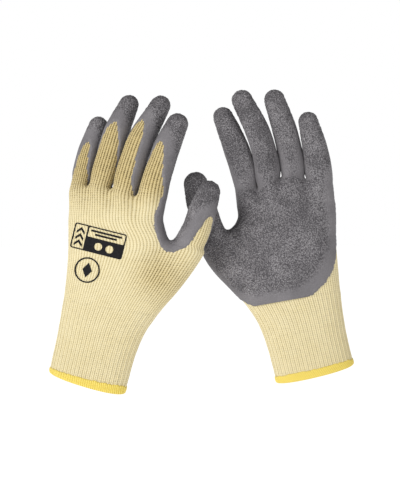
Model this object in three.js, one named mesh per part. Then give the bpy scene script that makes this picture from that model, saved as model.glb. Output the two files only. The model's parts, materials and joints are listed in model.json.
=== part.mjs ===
// A pair of knitted safety gloves with a latex-dipped palm, standing upright side by side as if worn.
// Glove A shows the back of the hand to the front (-Y), glove B shows its palm, and their thumbs cross.
// Each glove is one smooth skin surface, a grid of wale bands (columns) and courses (rows). The knit lies
// inside that surface and the latex film outside it, and every piece is a shell cut from the same grid.
// Millimetres, +X right, +Z towards the fingertips, origin at the middle of glove A's wrist opening.
import * as THREE from "three";

// Wall build-up
const KNIT_THICKNESS = 1.6;
const FILM_THICKNESS = 0.9;
const CLEARANCE = 0.3;
const EDGE_INSET = 0.2; // each piece stops this far short of its neighbour's edge
const HEM_PROUD = 0.7; // how far the overlocked edge stands out from the knit

// Grid of wale bands
const FINGER_BANDS = 4; // across the back, and across the palm, of each finger
const THUMB_BANDS = 4;
const SIDE_BANDS = 2; // down each side wall, and through each crotch
const HALF_SIDE = SIDE_BANDS / 2;
const FINGERS = ["little", "ring", "middle", "index"];
const FINGER_RING = 2 * (FINGER_BANDS + SIDE_BANDS);
const THUMB_RING = 2 * (THUMB_BANDS + SIDE_BANDS);
const PALM_BACK = FINGER_BANDS * FINGERS.length;
const PALM_RING = 2 * (PALM_BACK + SIDE_BANDS);
const CUFF_RING = PALM_RING + 2 * THUMB_BANDS;

// Where pieces end along the glove
const HEM_HEIGHT = 4.5;
const HEM_SLOPES = [0.3, 0.2, 0.1]; // how much lower the front of the lowest sections hangs, per mm of depth
const CUFF_HEIGHT = 62; // top of the ribbed, elasticated wrist
const ROOT_LENGTH = 5; // how far above its crotch a finger becomes a plain tube
const HINGE_LENGTH = 10; // where a finger folds
const CAP_LENGTH = 25; // the film closes over the nail side this far from the tip
const PALM_FILM_START = 74; // lowest course that the film reaches

// Cross-section
const PALM_SQUARENESS = 2.3; // exponent of the superellipse round the hand
const FINGER_SQUARENESS = 2.1;
const FINGER_DEPTH_RATIO = 0.9; // depth over width
const TIP_RINGS = [0.5, 0.82]; // share of the tip's radius at which its rings lie
const FINGER_ROWS = 3;

// Elastic thread laid inside the cuff, and the heat-printed mark on the back
const ELASTIC = { radius: 0.5, turns: 3, start: 12, end: 50, sides: 4, steps: 22 };
const PRINT_LIFT = 0.9;
const PRINT_THICKNESS = 0.4;
const PANEL = { width: 46, height: 22, columns: 10, rows: 5 };
const ROUNDEL = { radius: 11, width: 2, segments: 24 };

const COLOURS = {
  knit: new THREE.MeshStandardMaterial({ name: "knit", color: 0xe9dca6, roughness: 0.95 }),
  hem: new THREE.MeshStandardMaterial({ name: "hem", color: 0xefd548, roughness: 0.9 }),
  latex: new THREE.MeshStandardMaterial({ name: "latex", color: 0x6b686a, roughness: 0.75 }),
  elastic: new THREE.MeshStandardMaterial({ name: "elastic", color: 0xf2eedd, roughness: 0.6 }),
  print: new THREE.MeshStandardMaterial({ name: "print", color: 0x111111, roughness: 0.6 }),
};

// Each section is [little-finger edge, thumb edge, half depth], and each edge is [x, y, z].
// A station of a finger is [x, y, z of its middle, half width].
const GLOVE_A = {
  name: "glove_a",
  across: new THREE.Vector3(0.92, -0.39, 0),
  sections: [
    [[-32, 6, 9], [32, -6, -9.5], 13.5],
    [[-30.5, 6, 17.5], [35.5, -6, 3], 13.5],
    [[-26.5, 7, 35], [41.5, -7, 23.5], 13.5],
    [[-23, 8, 54], [50, -9, 42.5], 14.5],
    [[-20, 10, 73], [62, -11, 59], 15.5],
    [[-18, 12, 91], [76, -13, 75], 16.5],
    [[-17, 13, 108], [90, -15, 93], 17],
  ],
  crotch: [71, -12, 119],
  palm: [
    [[-17, 14, 121], null, 16.5],
    [[-16.5, 15, 136], [64, -13, 136], 15.5],
    [[-16, 16, 149], [65.5, -14, 148.5], 13.5],
  ],
  thumbEdge: [101.5, -17, 110.5],
  thumbHalfDepth: 12,
  knuckles: [
    [-15.5, 18, 165],
    [0.4, 11.5, 167.5],
    [20.2, 2.5, 163.5],
    [41.7, -7.5, 157],
    [66.5, -17, 159],
  ],
  knuckleHalfDepth: [9.5, 10, 10.5, 10.5],
  little: [[-7.5, 15, 166, 7.6], [-4.3, 17, 181, 7.9], [0.4, 19.5, 198.2, 8.1], [8.6, 24, 219.5, 7.2]],
  ring: [[10.3, 7, 165.5, 9], [14.2, 7, 181, 9.5], [19.4, 7.5, 198.2, 9.7], [25, 9.5, 215.4, 9.5], [35.3, 15, 237.6, 7.4]],
  middle: [[31, -2.5, 160, 9.9], [35, -3, 174, 10.6], [40, -3, 189.6, 10.8], [46.4, -2, 206.8, 10.6], [62.6, 3.5, 236.5, 7.6]],
  index: [[54.4, -12, 158.5, 10.9], [59.2, -13, 172.4, 11], [64.5, -13.5, 189.6, 10.8], [69.2, -13, 202.5, 10.4], [77.2, -10, 220, 8.3]],
  thumb: [[86.5, -14.5, 115, 13], [93.9, -17, 129.4, 11.6], [99.3, -18.5, 146.6, 11], [104.5, -18.5, 162, 8.4]],
  print: { middle: [9.7, 120], tilt: -14, roundel: [0, 95] },
};

const GLOVE_B = {
  name: "glove_b",
  across: new THREE.Vector3(-0.996, 0.087, 0),
  sections: [
    [[228.5, 7, 15], [163, 11, -0.5], 13.5],
    [[226, 7, 25.5], [160, 11, 11], 13.5],
    [[222.5, 7, 41], [155, 11, 29], 13.5],
    [[219.5, 7, 59], [148, 11, 47.5], 14.5],
    [[217.5, 6, 77], [138, 11, 63], 15.5],
    [[216, 6, 95], [124.5, 11, 78], 16.5],
    [[214.5, 5, 112], [110.5, 11, 92.5], 17],
  ],
  crotch: [122.5, 11, 129],
  palm: [
    [[214, 5, 128], null, 16.5],
    [[213.7, 4, 142], [130, 11, 139], 15.5],
    [[212.8, 4, 154], [129.5, 11, 151], 13.5],
  ],
  thumbEdge: [99.5, 11, 108],
  thumbHalfDepth: 12,
  knuckles: [
    [211, 5, 172],
    [187.9, 6.5, 169.8],
    [165.6, 8, 172],
    [147.3, 9.5, 161],
    [128, 11, 163.5],
  ],
  knuckleHalfDepth: [10.5, 10.5, 10.5, 10.5],
  little: [[199.8, 5, 171, 9.8], [198, 4, 189.6, 9.5], [195.2, 2, 202.5, 9.2], [189.8, -2, 222.5, 7.3]],
  ring: [[177, 8, 172, 9], [176.4, 7.5, 185, 9.1], [174, 6, 198.2, 9.2], [169.6, 3, 215.4, 9.3], [160.8, -4, 241, 7.8]],
  middle: [[156.8, 7, 169, 7.8], [155.4, 6, 181, 8.5], [151.7, 4.5, 198.2, 8.9], [145.8, 1.5, 215.4, 9.5], [132.9, -5, 240.8, 7.8]],
  index: [[137, 11, 163.5, 8], [133.4, 11, 181, 9], [127.9, 9.5, 198.2, 9.3], [121.6, 6.5, 215.4, 8.8], [116.7, 3.5, 226.5, 7.5]],
  thumb: [[110.8, 10, 118.5, 13], [104, 10, 131.2, 11.9], [99.7, 9.5, 144.1, 11.3], [96.3, 9, 155.2, 10.6], [93.2, 8, 169, 9.2]],
  print: { middle: [187, 128], tilt: 14, roundel: [194, 103] },
};

const vector = (point) => new THREE.Vector3(...point);

// A ring of points at equal arc lengths, from the little-finger edge over the back to the thumb edge and
// round by the palm. half runs from the middle to the thumb edge, back is the outward normal of the back.
function ringPoints(middle, half, back, halfDepth, count, squareness) {
  const samples = 720;
  const power = 2 / squareness;
  const points = [];
  const lengths = [0];
  for (let i = 0; i <= samples; i++) {
    const angle = (2 * Math.PI * i) / samples;
    const c = Math.cos(angle);
    const s = Math.sin(angle);
    points.push(
      middle
        .clone()
        .addScaledVector(half, -Math.sign(c) * Math.abs(c) ** power)
        .addScaledVector(back, halfDepth * Math.sign(s) * Math.abs(s) ** power),
    );
    if (i) lengths.push(lengths[i - 1] + points[i].distanceTo(points[i - 1]));
  }
  const ring = [];
  let at = 0;
  for (let i = 0; i < count; i++) {
    const wanted = (lengths[samples] * i) / count;
    while (lengths[at + 1] < wanted) at++;
    const share = (wanted - lengths[at]) / (lengths[at + 1] - lengths[at]);
    ring.push(points[at].clone().lerp(points[at + 1], share));
  }
  return ring;
}

// The ring of a section between two edges, level from front to back unless it slopes
function sectionRing(littleEdge, thumbEdge, halfDepth, count, squareness, slope = 0) {
  const middle = littleEdge.clone().add(thumbEdge).multiplyScalar(0.5);
  const half = thumbEdge.clone().sub(littleEdge).multiplyScalar(0.5);
  const back = half.clone().cross(new THREE.Vector3(0, 0, 1)).normalize();
  back.z += slope * back.y;
  return ringPoints(middle, half, back, halfDepth, count, squareness);
}

// A finger or thumb as a tube along a smooth centreline, with a round tip
class Tube {
  constructor(stations, across, count) {
    this.curve = new THREE.CatmullRomCurve3(stations.map(([x, y, z]) => new THREE.Vector3(x, y, z)));
    this.curve.arcLengthDivisions = 400;
    this.length = this.curve.getLength();
    this.across = across;
    this.count = count;
    this.widths = stations.map((station) => station[3]);
    this.tipRadius = this.widths.at(-1);
    const steps = stations.length - 1;
    const lengths = this.curve.getLengths();
    this.marks = stations.map((_, i) => lengths[Math.round((400 * i) / steps)]);
  }
  halfWidth(at) {
    let i = 0;
    while (i < this.marks.length - 2 && at > this.marks[i + 1]) i++;
    const share = THREE.MathUtils.clamp((at - this.marks[i]) / (this.marks[i + 1] - this.marks[i]), 0, 1);
    return THREE.MathUtils.lerp(this.widths[i], this.widths[i + 1], share);
  }
  frame(at) {
    const share = THREE.MathUtils.clamp(at / this.length, 0, 1);
    const along = this.curve.getTangentAt(share);
    const side = this.across.clone().addScaledVector(along, -this.across.dot(along)).normalize();
    const middle = this.curve.getPointAt(share).addScaledVector(along, Math.max(0, at - this.length));
    const over = Math.max(0, at - this.length) / this.tipRadius;
    const half = (over > 0 ? this.tipRadius * Math.sqrt(1 - over * over) : this.halfWidth(at));
    return { along, side, middle, half, back: side.clone().cross(along) };
  }
  ring(at) {
    const { side, middle, half, back } = this.frame(at);
    const depth = half * FINGER_DEPTH_RATIO;
    return ringPoints(middle, side.multiplyScalar(half), back, depth, this.count, FINGER_SQUARENESS);
  }
  tip() {
    const { along, middle } = this.frame(this.length);
    return middle.addScaledVector(along, this.tipRadius);
  }
  // A finger folds towards the palm, about the palm's surface of its base
  foldHinge() {
    const { side, middle, half, back } = this.frame(HINGE_LENGTH);
    const point = middle.addScaledVector(back, -half * FINGER_DEPTH_RATIO - CLEARANCE - FILM_THICKNESS);
    return { point, axis: side.negate() };
  }
  // The thumb closes towards the forefinger, about the inner edge of its base
  closeHinge() {
    const { side, middle, half, back } = this.frame(HINGE_LENGTH);
    return { point: middle.addScaledVector(side, -half - CLEARANCE - FILM_THICKNESS), axis: back };
  }
}

// A cubic between two points with the slopes given there, over an interval of the given length
function hermite(from, slopeFrom, to, slopeTo, length, share) {
  const s2 = share * share;
  const s3 = s2 * share;
  return new THREE.Vector3()
    .addScaledVector(from, 2 * s3 - 3 * s2 + 1)
    .addScaledVector(slopeFrom, (s3 - 2 * s2 + share) * length)
    .addScaledVector(to, 3 * s2 - 2 * s3)
    .addScaledVector(slopeTo, (s3 - s2) * length);
}

// Which part of a ring a band lies in, for a ring with this many bands across its back
function zone(band, backBands) {
  const start = HALF_SIDE;
  if (band >= start && band < start + backBands) return "back";
  if (band >= start + backBands && band < start + backBands + SIDE_BANDS) return "thumb_side";
  if (band >= start + backBands + SIDE_BANDS && band < start + 2 * backBands + SIDE_BANDS) return "palm";
  return "little_side";
}

// The finger that a band of the palm's ring runs into, and its place in that finger's ring
function fingerOf(band) {
  const across = band - HALF_SIDE;
  const palmStart = PALM_BACK + SIDE_BANDS;
  const last = FINGERS.length - 1;
  if (across < 0) return [0, band];
  if (across <= PALM_BACK) {
    const finger = Math.min(last, Math.floor(across / FINGER_BANDS));
    return [finger, band - finger * FINGER_BANDS];
  }
  if (across <= palmStart) return [last, band - last * FINGER_BANDS];
  const step = Math.min(last, Math.floor((across - palmStart) / FINGER_BANDS));
  return [last - step, band - (last + step) * FINGER_BANDS];
}

// Meets two rings along their shared side wall: from's thumb side and to's little-finger side
function shareSide(from, fromBack, to) {
  const pairs = [];
  for (let s = 0; s <= SIDE_BANDS; s++) {
    const i = HALF_SIDE + fromBack + s;
    const j = (HALF_SIDE - s + to.length) % to.length;
    const middle = from[i].clone().lerp(to[j], 0.5);
    from[i] = middle.clone();
    to[j] = middle.clone();
    pairs.push([i, j]);
  }
  return pairs;
}

// The whole glove's skin: points, and faces that know their tube, band and height along it
class Skin {
  constructor(glove) {
    this.points = [];
    this.faces = [];
    this.index = new Map();
    this.glove = glove;
    this.tubes = {};
    FINGERS.forEach((name) => (this.tubes[name] = new Tube(glove[name], glove.across, FINGER_RING)));
    this.tubes.thumb = new Tube(glove.thumb, glove.across, THUMB_RING);
    this.build();
    this.normals = this.pointNormals();
  }
  point(p) {
    const key = p.toArray().map((v) => Math.round(v * 1e3)).join(" ");
    if (!this.index.has(key)) {
      this.index.set(key, this.points.length);
      this.points.push(p);
    }
    return this.index.get(key);
  }
  addRows(part, rings, heights) {
    for (let r = 0; r + 1 < rings.length; r++) {
      const count = rings[r].length;
      for (let i = 0; i < count; i++) {
        const next = (i + 1) % count;
        const corners = [rings[r][i], rings[r][next], rings[r + 1][next], rings[r + 1][i]];
        const height = (heights[r] + heights[r + 1]) / 2;
        this.faces.push({ part, band: i, height, corners: corners.map((p) => this.point(p)) });
      }
    }
  }
  // Rings between two key rings, the second one included
  static between(from, slopesFrom, to, slopesTo, length, rows) {
    return Array.from({ length: rows }, (_, r) =>
      from.map((p, i) => (r + 1 === rows ? to[i] : hermite(p, slopesFrom[i], to[i], slopesTo[i], length, (r + 1) / rows))),
    );
  }
  build() {
    const { glove, tubes } = this;
    const edges = (section) => [vector(section[0]), vector(section[1])];
    const cuffKeys = glove.sections.map((s, i) =>
      sectionRing(...edges(s), s[2], CUFF_RING, PALM_SQUARENESS, HEM_SLOPES[i]),
    );
    const crotch = vector(glove.crotch);
    const palmStart = sectionRing(vector(glove.palm[0][0]), crotch, glove.palm[0][2], PALM_RING, PALM_SQUARENESS);
    const thumbStart = sectionRing(crotch, vector(glove.thumbEdge), glove.thumbHalfDepth, THUMB_RING, FINGER_SQUARENESS);
    const thumbPairs = shareSide(palmStart, PALM_BACK, thumbStart);
    const palmKeys = [palmStart];
    glove.palm.slice(1).forEach((s) => palmKeys.push(sectionRing(...edges(s), s[2], PALM_RING, PALM_SQUARENESS)));
    const roots = FINGERS.map((_, f) =>
      sectionRing(vector(glove.knuckles[f]), vector(glove.knuckles[f + 1]), glove.knuckleHalfDepth[f], FINGER_RING, FINGER_SQUARENESS),
    );
    const pairs = FINGERS.slice(1).map((_, f) => shareSide(roots[f], FINGER_BANDS, roots[f + 1]));
    palmKeys.push(palmKeys[0].map((_, i) => roots[fingerOf(i)[0]][fingerOf(i)[1]]));

    const rootRings = FINGERS.map((name) => tubes[name].ring(ROOT_LENGTH));
    const thumbRing = tubes.thumb.ring(ROOT_LENGTH);
    const heightOf = (ring) => ring.reduce((sum, p) => sum + p.z, 0) / ring.length;
    const cuffHeights = cuffKeys.map((ring) => heightOf(ring) - heightOf(cuffKeys[0]));
    const palmHeights = palmKeys.map((ring) => heightOf(ring) - heightOf(cuffKeys[0]));

    // Cuff and lower hand: the last key ring is the palm's and the thumb's together
    const toThumb = (i) => i >= HALF_SIDE + PALM_BACK && i <= HALF_SIDE + PALM_BACK + 2 * THUMB_BANDS + SIDE_BANDS;
    const palmBand = (i) => (i < HALF_SIDE + PALM_BACK ? i : i - 2 * THUMB_BANDS);
    const splitRing = cuffKeys[0].map((_, i) => (toThumb(i) ? thumbStart[i - PALM_BACK] : palmStart[palmBand(i)]));
    const afterSplit = cuffKeys[0].map((_, i) => (toThumb(i) ? thumbRing[i - PALM_BACK] : palmKeys[1][palmBand(i)]));
    const low = [...cuffKeys, splitRing];
    const lowHeights = [...cuffHeights, palmHeights[0]];
    const slope = (a, b, rise) => b.clone().sub(a).divideScalar(rise);
    const lowSlopes = low.map((ring, s) =>
      ring.map((p, i) => {
        if (s === 0) return slope(p, low[1][i], lowHeights[1]);
        const next = s + 1 < low.length ? low[s + 1][i] : afterSplit[i];
        const rise = s + 1 < low.length ? lowHeights[s + 1] - lowHeights[s] : palmHeights[1] - palmHeights[0];
        return slope(low[s - 1][i], next, lowHeights[s] - lowHeights[s - 1] + rise);
      }),
    );
    const hemShare = HEM_HEIGHT / lowHeights[1];
    const hemTop = low[0].map((p, i) => hermite(p, lowSlopes[0][i], low[1][i], lowSlopes[1][i], lowHeights[1], hemShare));
    this.hemFloor = low[0];
    this.addRows("cuff", [low[0], hemTop, low[1]], [0, HEM_HEIGHT, lowHeights[1]]);
    for (let s = 1; s + 1 < low.length; s++) {
      const rings = [low[s], ...Skin.between(low[s], lowSlopes[s], low[s + 1], lowSlopes[s + 1], lowHeights[s + 1] - lowHeights[s], 1)];
      this.addRows("cuff", rings, [lowHeights[s], lowHeights[s + 1]]);
    }
    this.cuffRings = low;
    this.cuffHeights = lowHeights;

    // Upper palm, from the thumb's crotch to the fingers' crotches
    const palmSlopes = palmKeys.map((ring, s) =>
      ring.map((p, i) => {
        const pair = thumbPairs.find(([own]) => own === i);
        const [finger, band] = fingerOf(i);
        const next = s < 3 ? palmKeys[s + 1][i] : rootRings[finger][band];
        const rise = s < 3 ? palmHeights[s + 1] - palmHeights[s] : ROOT_LENGTH;
        if (s > 0) return slope(palmKeys[s - 1][i], next, palmHeights[s] - palmHeights[s - 1] + rise);
        if (pair) return slope(thumbRing[pair[1]], next, rise + ROOT_LENGTH);
        const below = cuffKeys.at(-1)[i < HALF_SIDE + PALM_BACK ? i : i + 2 * THUMB_BANDS];
        return slope(below, next, palmHeights[0] - cuffHeights.at(-1) + rise);
      }),
    );
    for (let s = 0; s < 3; s++) {
      const length = palmHeights[s + 1] - palmHeights[s];
      const rings = [palmKeys[s], ...Skin.between(palmKeys[s], palmSlopes[s], palmKeys[s + 1], palmSlopes[s + 1], length, 1)];
      this.addRows("palm", rings, [palmHeights[s], palmHeights[s + 1]]);
    }

    // Fingers and thumb: a root that grows out of the crotch, then a plain tube
    FINGERS.forEach((name, f) => {
      const partners = new Map();
      if (f > 0) pairs[f - 1].forEach(([theirs, own]) => partners.set(own, rootRings[f - 1][theirs]));
      if (f < 3) pairs[f].forEach(([own, theirs]) => partners.set(own, rootRings[f + 1][theirs]));
      const below = new Map();
      palmKeys[0].forEach((_, i) => fingerOf(i)[0] === f && below.set(fingerOf(i)[1], palmKeys[2][i]));
      const rise = palmHeights[3] - palmHeights[2] + ROOT_LENGTH;
      const slopes = roots[f].map((_, j) =>
        partners.has(j)
          ? slope(partners.get(j), rootRings[f][j], 2 * ROOT_LENGTH)
          : slope(below.get(j), rootRings[f][j], rise),
      );
      this.addTube(name, tubes[name], roots[f], slopes);
    });
    const partners = new Map(thumbPairs.map(([theirs, own]) => [own, palmKeys[1][theirs]]));
    const thumbRise = palmHeights[0] - cuffHeights.at(-1) + ROOT_LENGTH;
    const thumbSlopes = thumbStart.map((_, j) =>
      partners.has(j)
        ? slope(partners.get(j), thumbRing[j], ROOT_LENGTH + palmHeights[1] - palmHeights[0])
        : slope(cuffKeys.at(-1)[j + PALM_BACK], thumbRing[j], thumbRise),
    );
    this.addTube("thumb", tubes.thumb, thumbStart, thumbSlopes);
  }
  addTube(name, tube, root, rootSlopes) {
    const first = tube.ring(ROOT_LENGTH);
    const nudge = 0.5;
    const slopes = tube.ring(ROOT_LENGTH + nudge).map((p, i) => p.sub(first[i]).divideScalar(nudge));
    const rings = [root, ...Skin.between(root, rootSlopes, first, slopes, ROOT_LENGTH, 2)];
    const heights = [0, ROOT_LENGTH / 2, ROOT_LENGTH];
    const plain = tube.length - HINGE_LENGTH;
    for (let r = 0; r <= FINGER_ROWS; r++) heights.push(HINGE_LENGTH + (plain * r) / FINGER_ROWS);
    TIP_RINGS.forEach((share) => heights.push(tube.length + tube.tipRadius * share));
    heights.slice(3).forEach((at) => rings.push(tube.ring(at)));
    this.addRows(name, rings, heights);
    const tip = this.point(tube.tip());
    const last = rings.at(-1).map((p) => this.point(p));
    const height = tube.length + tube.tipRadius;
    last.forEach((a, i) => this.faces.push({ part: name, band: i, height, corners: [a, last[(i + 1) % last.length], tip] }));
  }
  pointNormals() {
    const normals = this.points.map(() => new THREE.Vector3());
    for (const { corners } of this.faces) {
      const [a, b, c, d] = corners.map((i) => this.points[i]);
      const normal = c.clone().sub(a).cross((d ?? b).clone().sub(d ? b : a));
      if (!d) normal.negate();
      corners.forEach((i) => normals[i].add(normal));
    }
    return normals.map((n) => n.normalize());
  }
  // A closed shell over the chosen faces, from one offset to another along the skin's normals
  shell(chosen, inner, outer) {
    const faces = this.faces.filter(chosen);
    const edges = new Map();
    for (const { corners } of faces) {
      corners.forEach((a, i) => {
        const b = corners[(i + 1) % corners.length];
        if (!edges.delete(`${b} ${a}`)) edges.set(`${a} ${b}`, [a, b]);
      });
    }
    const inset = new Map();
    for (const [a, b] of edges.values()) [a, b].forEach((i) => inset.set(i, new THREE.Vector3()));
    for (const { corners } of faces) {
      const middle = new THREE.Vector3();
      corners.forEach((i) => middle.addScaledVector(this.points[i], 1 / corners.length));
      corners.filter((i) => inset.has(i)).forEach((i) => inset.get(i).add(middle.clone().sub(this.points[i])));
    }
    for (const move of inset.values()) move.setLength(EDGE_INSET);
    const place = (i, offset) => {
      const p = this.points[i].clone().addScaledVector(this.normals[i], offset);
      return inset.has(i) ? p.add(inset.get(i)) : p;
    };
    const triangles = [];
    const fan = (corners) => {
      for (let i = 2; i < corners.length; i++) triangles.push(corners[0], corners[i - 1], corners[i]);
    };
    for (const { corners } of faces) {
      fan(corners.map((i) => place(i, outer)));
      const under = corners.map((i) => place(i, inner));
      for (let i = 2; i < under.length; i++) triangles.push(under[0], under[i], under[i - 1]);
    }
    for (const [a, b] of edges.values()) fan([place(a, inner), place(b, inner), place(b, outer), place(a, outer)]);
    return solid(triangles);
  }
}

// A geometry from a list of corner points, three to a triangle
function solid(points) {
  return new THREE.BufferGeometry().setFromPoints(points);
}

// A node that carries its geometry in the group's own frame
function node(name, geometry, material) {
  const mesh = new THREE.Mesh(geometry, material);
  mesh.name = name;
  return mesh;
}

// Elastic thread: a helix that lies just inside the cuff's inner face
function elasticThread(skin) {
  const inside = KNIT_THICKNESS + 2 * CLEARANCE + ELASTIC.radius + 0.7;
  const heights = skin.cuffHeights;
  const path = [];
  for (let i = 0; i <= ELASTIC.turns * ELASTIC.steps; i++) {
    const height = THREE.MathUtils.lerp(ELASTIC.start, ELASTIC.end, i / (ELASTIC.turns * ELASTIC.steps));
    const band = (i * (CUFF_RING / ELASTIC.steps)) % CUFF_RING;
    let s = 0;
    while (heights[s + 1] < height) s++;
    const share = (height - heights[s]) / (heights[s + 1] - heights[s]);
    const at = (j) => skin.cuffRings[s][j].clone().lerp(skin.cuffRings[s + 1][j], share);
    const middle = at(0).lerp(at(CUFF_RING / 2), 0.5);
    const p = at(band);
    const inward = middle.clone().sub(p);
    path.push(p.addScaledVector(inward.normalize(), inside * (Math.abs(inward.y) > 0.5 ? 1 : 1.6)));
  }
  const section = new THREE.Shape().absellipse(0, 0, ELASTIC.radius, ELASTIC.radius, 0, 2 * Math.PI, false, 0);
  const curve = new THREE.CatmullRomCurve3(path);
  curve.getSpacedPoints = (steps) => Array.from({ length: steps + 1 }, (_, i) => curve.getPoint(i / steps));
  return new THREE.ExtrudeGeometry(section, {
    steps: ELASTIC.turns * ELASTIC.steps,
    curveSegments: ELASTIC.sides / 2,
    extrudePath: curve,
  });
}

// The skin's depth behind a point of the front view, on the side that the back of the hand faces
function backDepth(skin, side) {
  const corners = [];
  for (const { corners: c } of skin.faces) {
    for (let i = 2; i < c.length; i++) corners.push(skin.points[c[0]], skin.points[c[i - 1]], skin.points[c[i]]);
  }
  const target = new THREE.Mesh(solid(corners), new THREE.MeshBasicMaterial({ side: THREE.DoubleSide }));
  target.updateMatrixWorld(true);
  const ray = new THREE.Raycaster();
  return (x, z) => {
    ray.set(new THREE.Vector3(x, side * 200, z), new THREE.Vector3(0, -side, 0));
    return ray.intersectObject(target)[0].point.y;
  };
}

// A thin printed plate laid on the back of the hand. grid[r][c] is a place in the front view, [x, z].
function printPlate(grid, depthAt, side, closed) {
  const lift = (offset) => grid.map((row) => row.map(([x, z]) => new THREE.Vector3(x, depthAt(x, z) + side * offset, z)));
  const top = lift(PRINT_LIFT + PRINT_THICKNESS);
  const base = lift(PRINT_LIFT);
  const triangles = [];
  const quad = (a, b, c, d) => triangles.push(a, b, c, a, c, d);
  const rows = grid.length - 1;
  const columns = grid[0].length - 1;
  for (let r = 0; r < rows; r++) {
    for (let c = 0; c < columns; c++) {
      quad(top[r][c], top[r][c + 1], top[r + 1][c + 1], top[r + 1][c]);
      quad(base[r][c], base[r + 1][c], base[r + 1][c + 1], base[r][c + 1]);
    }
    if (!closed) {
      quad(base[r][0], top[r][0], top[r + 1][0], base[r + 1][0]);
      quad(top[r][columns], base[r][columns], base[r + 1][columns], top[r + 1][columns]);
    }
  }
  for (let c = 0; c < columns; c++) {
    quad(base[0][c], base[0][c + 1], top[0][c + 1], top[0][c]);
    quad(top[rows][c], top[rows][c + 1], base[rows][c + 1], base[rows][c]);
  }
  return solid(triangles);
}

function printedMark(skin, group, side) {
  const { middle, tilt, roundel } = skin.glove.print;
  const depthAt = backDepth(skin, side);
  const turn = THREE.MathUtils.degToRad(tilt);
  const right = -side; // which way the plate's columns run, so that its faces point out
  const place = (u, v) => [
    middle[0] + u * Math.cos(turn) - v * Math.sin(turn),
    middle[1] + u * Math.sin(turn) + v * Math.cos(turn),
  ];
  const panel = Array.from({ length: PANEL.rows + 1 }, (_, r) =>
    Array.from({ length: PANEL.columns + 1 }, (_, c) =>
      place(right * PANEL.width * (c / PANEL.columns - 0.5), PANEL.height * (r / PANEL.rows - 0.5)),
    ),
  );
  group.add(node(`${skin.glove.name}_print_panel`, printPlate(panel, depthAt, side, false), COLOURS.print));
  const ringAt = (radius) =>
    Array.from({ length: ROUNDEL.segments + 1 }, (_, c) => {
      const angle = (right * 2 * Math.PI * (c % ROUNDEL.segments)) / ROUNDEL.segments;
      return [roundel[0] + radius * Math.cos(angle), roundel[1] + radius * Math.sin(angle)];
    });
  const grid = [ringAt(ROUNDEL.radius), ringAt(ROUNDEL.radius - ROUNDEL.width)];
  group.add(node(`${skin.glove.name}_print_roundel`, printPlate(grid, depthAt, side, true), COLOURS.print));
}

// One glove as a group of nodes
function glove(plan, side) {
  const skin = new Skin(plan);
  const group = new THREE.Group();
  group.name = plan.name;
  const knit = [-KNIT_THICKNESS, 0];
  const film = [CLEARANCE, CLEARANCE + FILM_THICKNESS];
  const add = (name, chosen, [inner, outer], material, hinge) => {
    const piece = node(`${plan.name}_${name}`, skin.shell(chosen, inner, outer), material);
    if (hinge) piece.userData.hinge = hinge;
    group.add(piece);
  };
  const backBands = { cuff: PALM_BACK + THUMB_BANDS, palm: PALM_BACK, thumb: THUMB_BANDS };
  const zoneOf = (face) => zone(face.band, backBands[face.part] ?? FINGER_BANDS);
  const isDigit = (face) => face.part === "thumb" || FINGERS.includes(face.part);

  add("cuff_hem", (f) => f.part === "cuff" && f.height < HEM_HEIGHT, [-KNIT_THICKNESS - HEM_PROUD, HEM_PROUD], COLOURS.hem);
  add("knit_cuff", (f) => f.part === "cuff" && f.height > HEM_HEIGHT && f.height < CUFF_HEIGHT, knit, COLOURS.knit);
  const hand = (f) =>
    (f.part === "cuff" && f.height > CUFF_HEIGHT) || f.part === "palm" || (isDigit(f) && f.height < HINGE_LENGTH);
  add("knit_hand", hand, knit, COLOURS.knit);
  const coated = (f) => {
    const at = zoneOf(f);
    if (f.part === "cuff") return at === "palm" && f.height > PALM_FILM_START;
    if (f.part === "palm") return at === "palm" || at === "thumb_side";
    if (f.part === "thumb") return at === "palm" || at === "little_side";
    return at === "palm" || at === "thumb_side" || (at === "little_side" && f.part !== "little");
  };
  add("palm_film", (f) => hand(f) && coated(f), film, COLOURS.latex);
  for (const name of [...FINGERS, "thumb"]) {
    const cap = skin.tubes[name].length + skin.tubes[name].tipRadius - CAP_LENGTH;
    const stall = (f) => f.part === name && f.height > HINGE_LENGTH;
    const hinge = name === "thumb" ? skin.tubes[name].closeHinge() : skin.tubes[name].foldHinge();
    add(`${name}_stall`, stall, knit, COLOURS.knit, hinge);
    add(`${name}_film`, (f) => stall(f) && (zoneOf(f) !== "back" || f.height > cap), film, COLOURS.latex);
  }
  group.add(node(`${plan.name}_cuff_elastic`, elasticThread(skin), COLOURS.elastic));
  printedMark(skin, group, side);
  return group;
}

const pair = new THREE.Group();
pair.name = "insulating_gloves";
pair.add(glove(GLOVE_A, -1), glove(GLOVE_B, 1));

export default pair;
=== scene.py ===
"""The looks of a pair of latex-dipped knitted gloves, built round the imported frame.

Each glove is one skin surface: a cage with one column for each wale and one row for each course of the
knit. Blender subdivides the cage, and each piece is a shell cut from the result: the knit takes its ribs
and stitches from the cage's own columns and rows, and the latex film lies over the knit and sinks into it
along its border. The cage follows the plan of the CAD part, but for some knuckles that are moved and some
fingers that are wider, so that less background shows between them. Millimetres until a mesh is made.
"""
import json
import math

import bmesh
import bpy
import numpy as np
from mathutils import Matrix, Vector
from mathutils.bvhtree import BVHTree


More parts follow.
